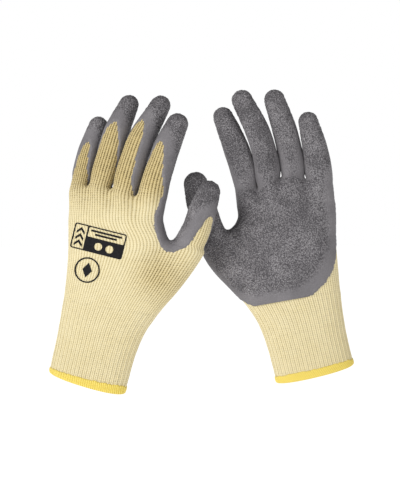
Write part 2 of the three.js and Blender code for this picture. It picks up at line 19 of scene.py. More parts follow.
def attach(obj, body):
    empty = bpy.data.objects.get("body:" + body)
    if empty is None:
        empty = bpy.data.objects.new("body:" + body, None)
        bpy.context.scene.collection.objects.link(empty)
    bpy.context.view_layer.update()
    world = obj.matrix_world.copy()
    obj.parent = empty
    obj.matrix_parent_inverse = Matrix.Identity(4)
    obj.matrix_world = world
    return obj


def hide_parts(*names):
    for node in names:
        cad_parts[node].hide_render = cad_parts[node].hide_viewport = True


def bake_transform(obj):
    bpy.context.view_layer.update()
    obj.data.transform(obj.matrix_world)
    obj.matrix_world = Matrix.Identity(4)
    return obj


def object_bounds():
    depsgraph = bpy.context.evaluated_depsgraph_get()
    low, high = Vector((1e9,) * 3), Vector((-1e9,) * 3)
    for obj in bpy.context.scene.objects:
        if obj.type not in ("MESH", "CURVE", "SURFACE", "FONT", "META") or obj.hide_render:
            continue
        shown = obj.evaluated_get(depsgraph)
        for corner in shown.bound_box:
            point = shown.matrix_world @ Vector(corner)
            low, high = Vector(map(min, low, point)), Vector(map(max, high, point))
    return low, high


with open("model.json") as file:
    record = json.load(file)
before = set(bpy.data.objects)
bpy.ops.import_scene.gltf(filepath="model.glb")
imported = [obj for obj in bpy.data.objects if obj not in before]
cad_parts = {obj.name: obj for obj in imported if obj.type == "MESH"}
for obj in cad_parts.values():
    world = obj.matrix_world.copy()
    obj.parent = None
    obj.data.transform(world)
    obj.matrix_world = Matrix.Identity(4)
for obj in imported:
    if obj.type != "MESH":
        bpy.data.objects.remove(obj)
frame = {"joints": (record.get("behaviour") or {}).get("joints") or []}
cad_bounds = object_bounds()

MM = 0.001

# Columns of the knit
FINGER_WALES = 8  # across the back, and across the palm, of each finger
THUMB_WALES = 10
SIDE_WALES = 4  # down each side wall, and through each crotch
HALF_SIDE = SIDE_WALES // 2
FINGERS = ["little", "ring", "middle", "index"]
DIGITS = FINGERS + ["thumb"]
FINGER_RING = 2 * (FINGER_WALES + SIDE_WALES)
THUMB_RING = 2 * (THUMB_WALES + SIDE_WALES)
PALM_BACK = FINGER_WALES * len(FINGERS)
PALM_RING = 2 * (PALM_BACK + SIDE_WALES)
CUFF_RING = PALM_RING + 2 * THUMB_WALES
COURSE = 1.6  # height of a course
FINE = 4  # fine faces along each side of a stitch

# Wall build-up
KNIT_THICKNESS = 1.6
FILM_LIFT = 1.15  # the film's outer face over the skin
FILM_SINK = -0.5  # where the film's edge goes under the knit
FILM_UNDER = -0.8  # the film's inner face
FILM_MARGIN = 3  # how far past its border the film's mesh goes, under the knit
RIDGE = 0.42  # height of a wale over the groove beside it
RIB = 0.3  # how far every second wale of the cuff stands out
CUFF_HEIGHT = 62
RIB_END = (CUFF_HEIGHT - 4, CUFF_HEIGHT + 6)  # where the ribs fade out

# Cross-sections
PALM_SQUARENESS = 2.3
FINGER_SQUARENESS = 2.1
FINGER_DEPTH_RATIO = 0.9
HEM_SLOPES = [0.3, 0.2, 0.1]
ROOT_LENGTH = 5  # from a digit's root to where its tube takes over
LOOSE_REACH = 14  # how far down the hand from a branching the skin is smoothed
ROOT_LOOSE_REACH = 9  # and how far up each digit

# How far the knit is pulled open, from 0 to 1. It deepens the knit's relief and its painted shade.
PALM_STRETCH = 0.3
KNUCKLE_PULL = 0.35  # what the palm's knit gains towards the knuckles
KNUCKLE_PULL_REACH = 12
OPENING_BAND = (-6, 13)  # where along a digit it goes from the least to the most
FINGER_STRETCH = (0.65, 1)
THUMB_STRETCH = (0.4, 0.5)

# Film border
FILM_START = 60  # height of the film's lower edge on the palm
LITTLE_CORNER = 48  # how gently the border turns up the little-finger side
LITTLE_GAP = 1.5  # how far the film ends short of the little-finger edge
WEB_REACH = 9.2  # how far the film shows round the thumb's crotch, seen from the back
WEB_BOTTOM = (0, 0, 3)  # the bottom of the crotch, from the plan's point
WEB_LAPS = [WEB_REACH, 6.5, 5, 4]  # how far it laps the thumb side, at each ring of the upper palm
# The knit left bare on each digit: half its width in degrees, what that gains at the root, how far up the
# gain reaches, and how far from the digit's tip the knit comes to a point
BARE_KNIT = dict(
    little=(46, 50, 12, 21),
    ring=(55, 55, 30, 25),
    middle=(62, 40, 10, 25),
    index=(50, 41, 22, 25),
    thumb=(50, 4, 8, 25),
)
SMOOTH_BAND = (6.0, 16.0)  # inside the border the film is smooth, and then it crinkles

# Each glove's plan. A section of the hand is its edge at the little finger, its edge at the thumb and half
# its depth. A station of a digit is its middle and half its width.
GLOVE_A = dict(
    name="glove_a",
    side=-1,  # the back of the hand faces -Y
    across=(0.92, -0.39, 0),
    sections=[
        ((-32, 6, 9), (32, -6, -9.5), 13.5),
        ((-30.5, 6, 17.5), (35.5, -6, 3), 13.5),
        ((-26.5, 7, 35), (41.5, -7, 23.5), 13.5),
        ((-23, 8, 54), (50, -9, 42.5), 14.5),
        ((-20, 10, 73), (62, -11, 59), 15.5),
        ((-18, 12, 91), (76, -13, 75), 16.5),
        ((-17, 13, 108), (90, -15, 93), 17),
    ],
    crotch=(72, -12, 116.5),
    palm=[
        ((-17, 14, 121), None, 16.5),  # to the crotch
        ((-16.5, 15, 136), (64, -13, 136), 15.5),
        ((-16, 16, 149), (65.5, -14, 148.5), 13.5),
    ],
    thumb_edge=(101.5, -17, 110.5),
    thumb_half_depth=12,
    knuckles=[
        (-15.5, 18, 165), (0.4, 11.5, 167.5), (20.2, 2.5, 165.5),
        (41.7, -7.5, 157), (68.2, -17.2, 158.5),
    ],
    knuckle_half_depth=[9.5, 10, 10.5, 10.5],
    little=[(-7.5, 15, 166, 7.6), (-4.3, 17, 181, 7.9), (0.4, 19.5, 198.2, 8.1), (8.6, 24, 219.5, 7.2)],
    ring=[
        (10.3, 7, 165.5, 10.2), (14.6, 7, 181, 10.7), (19.9, 7.5, 198.2, 10.7),
        (25.3, 9.5, 215.4, 10.2), (35.3, 15, 237.6, 7.4),
    ],
    middle=[
        (31, -2.5, 160, 11.2), (34.8, -3, 174, 11.8), (39.6, -3, 189.6, 11.6),
        (46, -2, 206.8, 11.3), (62.6, 3.5, 236.5, 7.6),
    ],
    index=[
        (55.6, -12.4, 158.5, 12.9), (58.8, -13, 172.4, 11.8), (64.5, -13.5, 189.6, 10.8),
        (69.2, -13, 202.5, 10.4), (77.2, -10, 220, 8.3),
    ],
    thumb=[
        (86.5, -14.5, 115, 13), (93.9, -17, 129.4, 11.6),
        (99.3, -18.5, 146.6, 11), (104.5, -18.5, 162, 8.4),
    ],
    facing=dict(little=-24, ring=-30, middle=-50, index=-41, thumb=50),
    thumb_lap=-8,
    thumb_corner=12,
    print=dict(middle=(9.7, 120), tilt=-14, roundel=(0, 95)),
)
GLOVE_B = dict(
    name="glove_b",
    side=1,
    across=(-0.996, 0.087, 0),
    sections=[
        ((228.5, 7, 15), (163, 11, -0.5), 13.5),
        ((226, 7, 25.5), (160, 11, 11), 13.5),
        ((222.5, 7, 41), (155, 11, 29), 13.5),
        ((219.5, 7, 59), (148, 11, 47.5), 14.5),
        ((217.5, 6, 77), (138, 11, 63), 15.5),
        ((216, 6, 95), (124.5, 11, 78), 16.5),
        ((214.5, 5, 112), (110.5, 11, 92.5), 17),
    ],
    crotch=(122.5, 11, 129),
    palm=[
        ((214, 5, 128), None, 16.5),  # to the crotch
        ((213.7, 4, 142), (130, 11, 139), 15.5),
        ((212.8, 4, 154), (129.5, 11, 151), 13.5),
    ],
    thumb_edge=(99.5, 11, 108),
    thumb_half_depth=12,
    knuckles=[(211, 5, 172), (187.9, 6.5, 173), (165.6, 8, 175.5), (147.3, 9.5, 161), (128, 11, 163.5)],
    knuckle_half_depth=[10.5, 10.5, 10.5, 10.5],
    little=[
        (199.2, 5, 171, 11.9), (197.5, 4, 189.6, 10.5),
        (195, 2, 202.5, 9.5), (189.8, -2, 222.5, 7.3),
    ],
    ring=[
        (177, 8, 172, 11.4), (176.3, 7.5, 185, 10.7), (173.9, 6, 198.2, 9.8),
        (169.6, 3, 215.4, 9.6), (160.8, -4, 241, 7.8),
    ],
    middle=[
        (156.3, 7, 169, 10.8), (155.2, 6, 181, 10.5), (151.6, 4.5, 198.2, 9.6),
        (145.8, 1.5, 215.4, 9.5), (132.9, -5, 240.8, 7.8),
    ],
    index=[
        (137.5, 11, 163.5, 9.2), (134, 11, 181, 10.2), (128.5, 9.5, 198.2, 10.2),
        (121.6, 6.5, 215.4, 8.8), (116.7, 3.5, 226.5, 7.5),
    ],
    thumb=[
        (110.8, 10, 118.5, 13), (104, 10, 131.2, 11.9), (99.7, 9.5, 144.1, 11.3),
        (96.3, 9, 155.2, 10.6), (93.2, 8, 169, 9.2),
    ],
    facing=dict(little=0, ring=0, middle=0, index=0, thumb=15),
    thumb_lap=2.6,
    thumb_corner=25,
    print=dict(middle=(187, 128), tilt=14, roundel=(194, 103)),
)


# ---------------------------------------------------------------- small maths


def unit(v):
    return v / np.linalg.norm(v, axis=-1, keepdims=True)


def smoothstep(low, high, x):
    t = np.clip((x - low) / (high - low), 0, 1)
    return t * t * (3 - 2 * t)


def hermite(start, start_slope, end, end_slope, length, share):
    s2, s3 = share**2, share**3
    return (
        start * (2 * s3 - 3 * s2 + 1)
        + start_slope * (s3 - 2 * s2 + share) * length
        + end * (3 * s2 - 2 * s3)
        + end_slope * (s3 - s2) * length
    )


def noise(points, scale, seed=0):
    """Gradient noise from about -1 to 1 at points, with features about scale across."""
    table = np.random.RandomState(seed).permutation(256)
    directions = unit(np.random.RandomState(seed + 1).randn(256, 3))
    p = points / scale
    cell = np.floor(p).astype(int)
    f = p - cell
    w = f**3 * (f * (f * 6 - 15) + 10)
    total = np.zeros(len(p))
    for corner in range(8):
        step = np.array([corner & 1, corner >> 1 & 1, corner >> 2 & 1])
        c = (cell + step) & 255
        pick = table[(table[(table[c[:, 0]] + c[:, 1]) & 255] + c[:, 2]) & 255]
        weight = np.prod(np.where(step == 1, w, 1 - w), axis=1)
        total += weight * np.einsum("ij,ij->i", directions[pick], f - step)
    return total * 1.6


# ---------------------------------------------------------------- the skin's rings


def ring_points(middle, half, back, half_depth, count, squareness, shares=None):
    """A ring from the little-finger edge over the back to the thumb edge and round, even or by shares."""
    angle = np.linspace(0, 2 * np.pi, 721)
    c, s = np.cos(angle), np.sin(angle)
    power = 2 / squareness
    x = -np.sign(c) * np.abs(c) ** power
    y = half_depth * np.sign(s) * np.abs(s) ** power
    points = middle + x[:, None] * half + y[:, None] * back
    arc = np.concatenate([[0], np.cumsum(np.linalg.norm(np.diff(points, axis=0), axis=1))])
    wanted = arc[-1] * (np.arange(count) / count if shares is None else shares)
    return np.stack([np.interp(wanted, arc, points[:, k]) for k in range(3)], axis=1)


def section_ring(little_edge, thumb_edge, half_depth, count, squareness, slope=0.0, shares=None):
    little_edge, thumb_edge = np.array(little_edge, float), np.array(thumb_edge, float)
    half = (thumb_edge - little_edge) / 2
    back = unit(np.cross(half, [0, 0, 1]))
    back[2] += slope * back[1]
    return ring_points((little_edge + thumb_edge) / 2, half, back, half_depth, count, squareness, shares)


class Tube:
    """A finger or thumb along a smooth centreline, with a round tip."""

    STEPS = 400

    def __init__(self, stations, across, count):
        stations = np.array(stations, float)
        self.across = np.array(across, float)
        self.count = count
        self.radii = stations[:, 3]
        self.tip_radius = self.radii[-1]
        self.line = self.centreline(stations[:, :3])
        self.arc = np.concatenate([[0], np.cumsum(np.linalg.norm(np.diff(self.line, axis=0), axis=1))])
        self.length = self.arc[-1]
        self.marks = self.arc[np.round(np.linspace(0, self.STEPS, len(stations))).astype(int)]

    def centreline(self, points):
        """The centripetal Catmull-Rom curve through points, at STEPS + 1 even parameters."""
        ends = [2 * points[0] - points[1], *points, 2 * points[-1] - points[-2]]
        line = []
        for t in np.linspace(0, len(points) - 1, self.STEPS + 1):
            i = min(int(t), len(points) - 2)
            p0, p1, p2, p3 = ends[i : i + 4]
            d0, d1, d2 = (np.sqrt(np.linalg.norm(b - a)) for a, b in ((p0, p1), (p1, p2), (p2, p3)))
            out = ((p1 - p0) / d0 - (p2 - p0) / (d0 + d1) + (p2 - p1) / d1) * d1
            into = ((p2 - p1) / d1 - (p3 - p1) / (d1 + d2) + (p3 - p2) / d2) * d1
            line.append(hermite(p1, out, p2, into, 1, t - i))
        return np.array(line)

    def point(self, at):
        return np.array([np.interp(at, self.arc, self.line[:, k]) for k in range(3)])

    def frame(self, at):
        """Its direction, its thumb side, its middle and half its width at a length along it."""
        inside = min(max(at, 0), self.length)
        step = self.length / self.STEPS
        low, high = max(inside - step, 0), min(inside + step, self.length)
        along = unit(self.point(high) - self.point(low))
        side = unit(self.across - along * self.across.dot(along))
        over = max(0, at - self.length)
        middle = self.point(inside) + along * over
        half = np.interp(inside, self.marks, self.radii)
        if over:
            half = self.tip_radius * math.sqrt(max(0, 1 - (over / self.tip_radius) ** 2))
        return along, side, middle, half

    def ring(self, at):
        along, side, middle, half = self.frame(at)
        back = np.cross(side, along)
        depth = half * FINGER_DEPTH_RATIO
        return ring_points(middle, side * half, back, depth, self.count, FINGER_SQUARENESS)

    def tip(self):
        along, _, middle, _ = self.frame(self.length)
        return middle + along * self.tip_radius


def finger_of(band):
    """The finger that a column of the palm's ring runs into, and its column in that finger's ring."""
    across = band - HALF_SIDE
    palm_start = PALM_BACK + SIDE_WALES
    last = len(FINGERS) - 1
    if across < 0:
        return 0, band
    if across <= PALM_BACK:
        finger = min(last, across // FINGER_WALES)
        return finger, band - finger * FINGER_WALES
    if across <= palm_start:
        return last, band - last * FINGER_WALES
    step = min(last, (across - palm_start) // FINGER_WALES)
    return last - step, band - (last + step) * FINGER_WALES


def share_side(first, first_back, second):
    """Meets two rings along their shared side wall, and returns the pairs of columns that meet."""
    pairs = []
    for s in range(SIDE_WALES + 1):
        i, j = HALF_SIDE + first_back + s, (HALF_SIDE - s) % len(second)
        first[i] = second[j] = (first[i] + second[j]) / 2
        pairs.append((i, j))
    return pairs


# ---------------------------------------------------------------- where the film lies


def rounded(a, b, corner):
    return corner - np.hypot(np.maximum(corner - a, 0), np.maximum(corner - b, 0))


def film_on_hand(ring, height, lap, thumb_corner):
    """How far inside the film's border each point of a ring of the hand lies, less than 0 outside it.

    The lap is how far the film passes the thumb's side, both round the palm and as seen from the back.
    """
    steps = np.linalg.norm(np.roll(ring, -1, axis=0) - ring, axis=1)
    arc = np.concatenate([[0], np.cumsum(steps)[:-1]])
    total, half = steps.sum(), len(ring) // 2
    palm = np.arange(len(ring)) >= half
    from_side = np.linalg.norm((ring - ring[half])[:, [0, 2]], axis=1)
    thumb = np.where(palm, arc - arc[half] + lap, lap - from_side)
    little = np.where(palm, total - arc, -arc) - LITTLE_GAP
    above = height - FILM_START
    on_palm = np.minimum(rounded(thumb, above, thumb_corner), rounded(little, above, LITTLE_CORNER))
    return np.where(palm, on_palm, rounded(np.maximum(thumb, little), above, thumb_corner))


def film_on_digit(tube, ring, at, facing, side, bare):
    """The same on a ring of a digit, whose bare knit faces an angle from the back to the thumb side."""
    along, _, middle, half = tube.frame(at)
    turn = math.radians(facing)
    out = unit(np.array([-side * math.sin(turn), side * math.cos(turn), 0.0]))
    out = unit(out - along * out.dot(along))
    spoke = ring - middle
    spoke = unit(spoke - np.outer(spoke @ along, along) + 1e-9)
    angle = np.arccos(np.clip(spoke @ out, -1, 1))
    from_tip = tube.length + tube.tip_radius - at
    plain, extra, reach, point = bare
    width = plain * (1 - math.exp(-max(from_tip - point, 0) / 9)) + extra * math.exp(-((at / reach) ** 2))
    return (angle - math.radians(width)) * max(half, 3) + max(point - from_tip, 0)


# ---------------------------------------------------------------- the cage


def courses(length):
    return max(1, round(length / COURSE))


def slopes_through(rings, rises):
    """The slope at each ring but the first and the last, from the rings below and above it."""
    return [(rings[s + 1] - rings[s - 1]) / (rises[s - 1] + rises[s]) for s in range(1, len(rings) - 1)]


def whole_ring(palm, thumb):
    """One ring round the hand, from the palm's ring and the thumb's, where the two part."""
    column = np.arange(CUFF_RING)
    parting = HALF_SIDE + PALM_BACK
    of_thumb = (column >= parting) & (column <= parting + 2 * THUMB_WALES + SIDE_WALES)
    palm_column = np.where(column < parting, column, column - 2 * THUMB_WALES) % PALM_RING
    thumb_column = (column - PALM_BACK) % THUMB_RING
    of_thumb = of_thumb.reshape(-1, *[1] * (palm.ndim - 1))
    return np.where(of_thumb, thumb[thumb_column], palm[palm_column])


def directed_edges(quads):
    """Every edge of some faces, in their own order. The fourth corner of a triangle is -1."""
    edges = []
    for k in range(4):
        a, b = quads[:, k], quads[:, (k + 1) % 4]
        edges.append(np.stack([a, np.where(b < 0, quads[:, 0], b)], axis=1)[a >= 0])
    return np.concatenate(edges)


class Cage:
    """The coarse skin: points, faces with their columns and rows, and four values at each point.

    film is how far inside the film's border the point lies, and rib is 1 where the cuff's ribs show. loose is
    how freely relaxing moves the point, and stretch is how far the knit is pulled open.
    """

    POINT_LISTS = ("points", "film", "rib", "loose", "stretch")
    FACE_LISTS = ("quads", "uvs", "parts")

    def __init__(self, plan):
        self.plan = plan
        for key in self.POINT_LISTS + self.FACE_LISTS:
            setattr(self, key, [])
        self.tubes = {n: Tube(plan[n], plan["across"], FINGER_RING) for n in FINGERS}
        self.tubes["thumb"] = Tube(plan["thumb"], plan["across"], THUMB_RING)
        self.draw_rings()
        self.part_rings()
        self.lower_hand()
        self.upper_palm()
        self.all_digits()
        for key in self.POINT_LISTS + self.FACE_LISTS:
            setattr(self, key, np.concatenate(getattr(self, key)))
        self.drop_unused()
        self.relax()

    def draw_rings(self):
        """The rings that the skin runs through, from the wrist to the roots of the digits."""
        plan = self.plan
        slopes = HEM_SLOPES + [0] * (len(plan["sections"]) - len(HEM_SLOPES))
        self.sections = [
            section_ring(*section, CUFF_RING, PALM_SQUARENESS, slope)
            for section, slope in zip(plan["sections"], slopes)
        ]
        little_edge, _, half_depth = plan["palm"][0]
        crotch, thumb_edge = plan["crotch"], plan["thumb_edge"]
        palm_start = section_ring(little_edge, crotch, half_depth, PALM_RING, PALM_SQUARENESS)
        self.thumb_start = section_ring(
            crotch, thumb_edge, plan["thumb_half_depth"], THUMB_RING, FINGER_SQUARENESS
        )
        self.thumb_pairs = share_side(palm_start, PALM_BACK, self.thumb_start)
        knuckles = plan["knuckles"]
        self.roots = [
            section_ring(a, b, depth, FINGER_RING, FINGER_SQUARENESS)
            for a, b, depth in zip(knuckles, knuckles[1:], plan["knuckle_half_depth"])
        ]
        self.pairs = [share_side(a, FINGER_WALES, b) for a, b in zip(self.roots, self.roots[1:])]
        self.owner = [finger_of(i) for i in range(PALM_RING)]
        knuckle_ring = np.array([self.roots[f][j] for f, j in self.owner])

        # The upper palm's columns go by degrees from even spacing to their spacing at the knuckles
        steps = np.linalg.norm(np.roll(knuckle_ring, -1, axis=0) - knuckle_ring, axis=1)
        end_shares = (np.cumsum(steps) - steps) / steps.sum()
        self.palms = [palm_start]
        for section, blend in zip(plan["palm"][1:], (0.35, 0.7)):
            shares = end_shares * blend + np.arange(PALM_RING) / PALM_RING * (1 - blend)
            self.palms.append(section_ring(*section, PALM_RING, PALM_SQUARENESS, shares=shares))
        self.palms.append(knuckle_ring)
        self.root_rings = [self.tubes[n].ring(ROOT_LENGTH) for n in FINGERS]
        self.thumb_ring = self.tubes["thumb"].ring(ROOT_LENGTH)
        base = self.sections[0][:, 2].mean()
        self.palm_heights = [r[:, 2].mean() - base for r in self.palms]
        self.low_heights = [r[:, 2].mean() - base for r in self.sections] + self.palm_heights[:1]
        self.to_parting = self.palm_heights[0] - self.low_heights[-2]

    def part_rings(self):
        """Adds the points where the palm and the thumb part, shared along the wall where they meet."""
        palm, thumb = self.palms[0], self.thumb_start
        palm_film = film_on_hand(palm, self.palm_heights[0], WEB_REACH, self.plan["thumb_corner"])
        self.palm_ids = self.add(palm, palm_film, loose=1)
        thumb_film = np.maximum(self.film_on("thumb", thumb, 0), self.web(thumb))
        self.thumb_ids = self.add(thumb, thumb_film, loose=1)
        for own, theirs in self.thumb_pairs:
            self.thumb_ids[theirs] = self.palm_ids[own]

    def lower_hand(self):
        """The skin from the hem to where the thumb leaves the palm."""
        low = self.sections + [whole_ring(self.palms[0], self.thumb_start)]
        after = whole_ring(self.palms[1], self.thumb_ring)
        rises = [*np.diff(self.low_heights), self.palm_heights[1] - self.palm_heights[0]]
        slopes = [(low[1] - low[0]) / rises[0]] + slopes_through([*low, after], rises)
        lap, corner = self.plan["thumb_lap"], self.plan["thumb_corner"]
        on_back = np.arange(CUFF_RING) < CUFF_RING // 2
        self.low_ids, self.course_heights = [], []
        for s, rise in enumerate(rises[:-1]):
            count = courses(rise)
            for r in range(count):
                share = r / count
                ring = hermite(low[s], slopes[s], low[s + 1], slopes[s + 1], rise, share)
                height = self.low_heights[s] + rise * share
                film = film_on_hand(ring, height, lap, corner)
                film = np.where(on_back, np.maximum(film, self.web(ring)), film)
                rib = 1 - smoothstep(*RIB_END, height)
                loose = math.exp(-(((self.low_heights[-1] - height) / LOOSE_REACH) ** 2))
                self.low_ids.append(self.add(ring, film, rib=rib, loose=loose))
                self.course_heights.append(height)
        self.skirt("low", self.low_ids + [whole_ring(self.palm_ids, self.thumb_ids)], 0)

    def upper_palm(self):
        """The skin from where the thumb leaves the palm to the knuckles."""
        palms, heights = self.palms, self.palm_heights
        column = np.arange(PALM_RING)
        column = np.where(column < HALF_SIDE + PALM_BACK, column, column + 2 * THUMB_WALES)
        tops = np.array([self.root_rings[f][j] for f, j in self.owner])
        rises = [self.to_parting, *np.diff(heights), ROOT_LENGTH]
        slopes = slopes_through([self.sections[-1][column], *palms, tops], rises)
        for own, theirs in self.thumb_pairs:
            slopes[0][own] = (palms[1][own] - self.thumb_ring[theirs]) / (rises[1] + ROOT_LENGTH)
        corner = self.plan["thumb_corner"]
        rings = [self.palm_ids]
        last = len(palms) - 2
        for s, rise in enumerate(rises[1:-1]):
            count = courses(rise)
            for r in range(1, count + (s < last)):
                share = r / count
                ring = hermite(palms[s], slopes[s], palms[s + 1], slopes[s + 1], rise, share)
                height = heights[s] + rise * share
                lap = WEB_LAPS[s] + (WEB_LAPS[s + 1] - WEB_LAPS[s]) * share
                ends = (heights[0], heights[-1])
                loose = max(math.exp(-(((height - end) / LOOSE_REACH) ** 2)) for end in ends)
                pull = math.exp(-(((heights[-1] - height) / KNUCKLE_PULL_REACH) ** 2))
                stretch = PALM_STRETCH + KNUCKLE_PULL * pull
                film = film_on_hand(ring, height, lap, corner)
                rings.append(self.add(ring, film, loose=loose, stretch=stretch))

        self.root_ids = []
        for f, name in enumerate(FINGERS):
            film = self.film_on(name, self.roots[f], 0)
            ids = self.add(self.roots[f], film, loose=1, stretch=PALM_STRETCH + KNUCKLE_PULL)
            if f:
                for theirs, own in self.pairs[f - 1]:
                    ids[own] = self.root_ids[f - 1][theirs]
            self.root_ids.append(ids)
        rings.append(np.array([self.root_ids[f][j] for f, j in self.owner]))
        self.skirt("palm", rings, len(self.low_ids))
        self.knuckle_row = len(self.low_ids) + len(rings) - 1

    def all_digits(self):
        """The digits. Along a shared wall, the skin of each leaves its root away from its neighbour."""
        rise = self.palm_heights[-1] - self.palm_heights[-2] + ROOT_LENGTH
        for f, name in enumerate(FINGERS):
            ring = self.root_rings[f]
            slope = np.zeros_like(ring)
            for i, (finger, j) in enumerate(self.owner):
                if finger == f:
                    slope[j] = (ring[j] - self.palms[-2][i]) / rise
            if f:
                for theirs, own in self.pairs[f - 1]:
                    slope[own] = (ring[own] - self.root_rings[f - 1][theirs]) / (2 * ROOT_LENGTH)
            if f < len(FINGERS) - 1:
                for own, theirs in self.pairs[f]:
                    slope[own] = (ring[own] - self.root_rings[f + 1][theirs]) / (2 * ROOT_LENGTH)
            self.digit(name, self.root_ids[f], self.roots[f], slope, self.knuckle_row)
        ring = self.thumb_ring
        lower = self.sections[-1][(np.arange(THUMB_RING) + PALM_BACK) % CUFF_RING]
        slope = (ring - lower) / (self.to_parting + ROOT_LENGTH)
        rise = ROOT_LENGTH + self.palm_heights[1] - self.palm_heights[0]
        for own, theirs in self.thumb_pairs:
            slope[theirs] = (ring[theirs] - self.palms[1][own]) / rise
        self.digit("thumb", self.thumb_ids, self.thumb_start, slope, len(self.low_ids))

    def digit(self, name, root_ids, root, slope, first_row):
        """One digit's skin, from its root ring over its round tip."""
        tube = self.tubes[name]
        nudge = 0.5
        first = tube.ring(ROOT_LENGTH)
        first_slope = (tube.ring(ROOT_LENGTH + nudge) - first) / nudge
        levels = []
        count = courses(ROOT_LENGTH)
        for r in range(1, count):
            ring = hermite(root, slope, first, first_slope, ROOT_LENGTH, r / count)
            levels.append((ROOT_LENGTH * r / count, ring))
        plain = tube.length - ROOT_LENGTH
        count = courses(plain)
        heights = [ROOT_LENGTH + plain * r / count for r in range(count)]
        over = round(tube.tip_radius * math.pi / 2 / COURSE)
        heights += [tube.length + tube.tip_radius * math.sin(math.pi / 2 * r / over) for r in range(over)]
        levels += [(at, tube.ring(at)) for at in heights]
        least, most = THUMB_STRETCH if name == "thumb" else FINGER_STRETCH
        rings = [root_ids]
        for at, ring in levels:
            stretch = least + (most - least) * smoothstep(*OPENING_BAND, at)
            loose = math.exp(-((at / ROOT_LOOSE_REACH) ** 2))
            rings.append(self.add(ring, self.film_on(name, ring, at), loose=loose, stretch=stretch))
        self.skirt(name, rings, first_row)
        tip = self.add([tube.tip()], [BARE_KNIT[name][-1]])
        last = rings[-1]
        none = np.full(len(last), -1)
        fan = np.stack([last, np.roll(last, -1), np.repeat(tip, len(last)), none], axis=1)
        self.add_faces(name, fan, first_row + len(rings) - 1)

    def add(self, ring, film, rib=0.0, loose=0.0, stretch=PALM_STRETCH):
        """Adds a ring of points and returns their numbers."""
        first = sum(map(len, self.points))
        self.points.append(np.array(ring, float))
        self.film.append(np.array(film, float))
        for values, value in ((self.rib, rib), (self.loose, loose), (self.stretch, stretch)):
            values.append(np.full(len(ring), float(value)))
        return np.arange(first, first + len(ring))

    def skirt(self, part, rings, first_row):
        """Quads between rings of point numbers, one row of them for each course."""
        for r, (low, high) in enumerate(zip(rings, rings[1:])):
            quads = np.stack([low, np.roll(low, -1), np.roll(high, -1), high], axis=1)
            self.add_faces(part, quads, first_row + r)

    def add_faces(self, part, quads, row):
        """Adds one row of quads, or of triangles that close a tip and have -1 as their fourth corner."""
        count = len(quads)
        u, v = np.arange(count), np.full(count, row)
        closed = quads[:, 3] < 0
        corners = [(u, v), (u + 1, v), (u + 1 - 0.5 * closed, v + 1), (u, v + 1 - closed)]
        self.quads.append(quads)
        self.uvs.append(np.stack([np.stack(c, axis=1) for c in corners], axis=1).astype(float))
        self.parts.append(np.full(count, part))

    def drop_unused(self):
        """Drops the points that a shared wall left without a face."""
        used = np.unique(self.quads[self.quads >= 0])
        renumbered = np.full(len(self.points), -1)
        renumbered[used] = np.arange(len(used))
        for key in self.POINT_LISTS:
            setattr(self, key, getattr(self, key)[used])
        self.quads = np.where(self.quads >= 0, renumbered[self.quads], -1)
        self.low_ids = [renumbered[ids] for ids in self.low_ids]

    def web(self, ring):
        """The film in the thumb's crotch, by distance from the bottom of the crotch as seen from the back."""
        bottom = np.array(self.plan["crotch"]) + WEB_BOTTOM
        return WEB_REACH - np.linalg.norm((ring - bottom)[:, [0, 2]], axis=1)

    def film_on(self, name, ring, at):
        facing, side = self.plan["facing"][name], self.plan["side"]
        return film_on_digit(self.tubes[name], ring, at, facing, side, BARE_KNIT[name])

    def relax(self):
        """Smooths the film's border, how far the knit opens, and the skin where the digits branch."""
        edges = np.unique(np.sort(directed_edges(self.quads), axis=1), axis=0)
        a, b = edges.T
        valence = np.bincount(a, minlength=len(self.points)) + np.bincount(b, minlength=len(self.points))

        def average(values):
            total = np.zeros_like(values)
            np.add.at(total, a, values[b])
            np.add.at(total, b, values[a])
            return total / valence.reshape(-1, *[1] * (values.ndim - 1))

        film_rounds, stretch_rounds, skin_rounds, crotch_rounds = 3, 10, 40, 25
        thumb_reach, crotch_reach = 30, 9
        for _ in range(film_rounds):
            self.film = 0.5 * self.film + 0.5 * average(self.film)
        crotch = np.array(self.plan["crotch"])
        thumb_base = crotch - (8, 0, 26)
        near_thumb = np.exp(-np.sum((self.points - thumb_base)[:, [0, 2]] ** 2, axis=1) / thumb_reach**2)
        self.stretch = np.maximum(self.stretch, 0.8 * near_thumb)
        for _ in range(stretch_rounds):
            self.stretch = average(self.stretch)
        for _ in range(skin_rounds):
            # A pull in and a smaller push out, so that the skin doesn't shrink
            for pull in (0.55, -0.5):
                self.points = self.points + pull * self.loose[:, None] * (average(self.points) - self.points)
        at_crotch = np.exp(-np.sum((self.points - crotch) ** 2, axis=1) / crotch_reach**2)[:, None]
        for _ in range(crotch_rounds):
            self.points = self.points + 0.5 * at_crotch * (average(self.points) - self.points)
        self.points -= self.normals() * self.sink()[:, None]

    def normals(self):
        corners = np.where(self.quads < 0, self.quads[:, :1], self.quads)
        p = self.points[corners]
        face = np.cross(p[:, 2] - p[:, 0], p[:, 3] - p[:, 1])
        total = np.zeros_like(self.points)
        for k in range(4):
            np.add.at(total, corners[:, k], face)
        return unit(total)

    def sink(self):
        """How far the cloth draws in under each crotch between fingers, less its bulge over each knuckle."""
        knuckles = np.array(self.plan["knuckles"], float)[:, [0, 2]]
        here = self.points[:, [0, 2]]
        total = np.zeros(len(here))
        crotches, middles = knuckles[1:-1], (knuckles[1:] + knuckles[:-1]) / 2
        hollows = [(place, 2.1, (0, -7), (4.5, 11)) for place in crotches]
        bulges = [(place, -0.5, (0, -3), (8, 10)) for place in middles]
        for place, depth, offset, reach in hollows + bulges:
            total += depth * np.exp(-(((here - place - offset) / reach) ** 2).sum(axis=1))
        return total


# ---------------------------------------------------------------- meshes


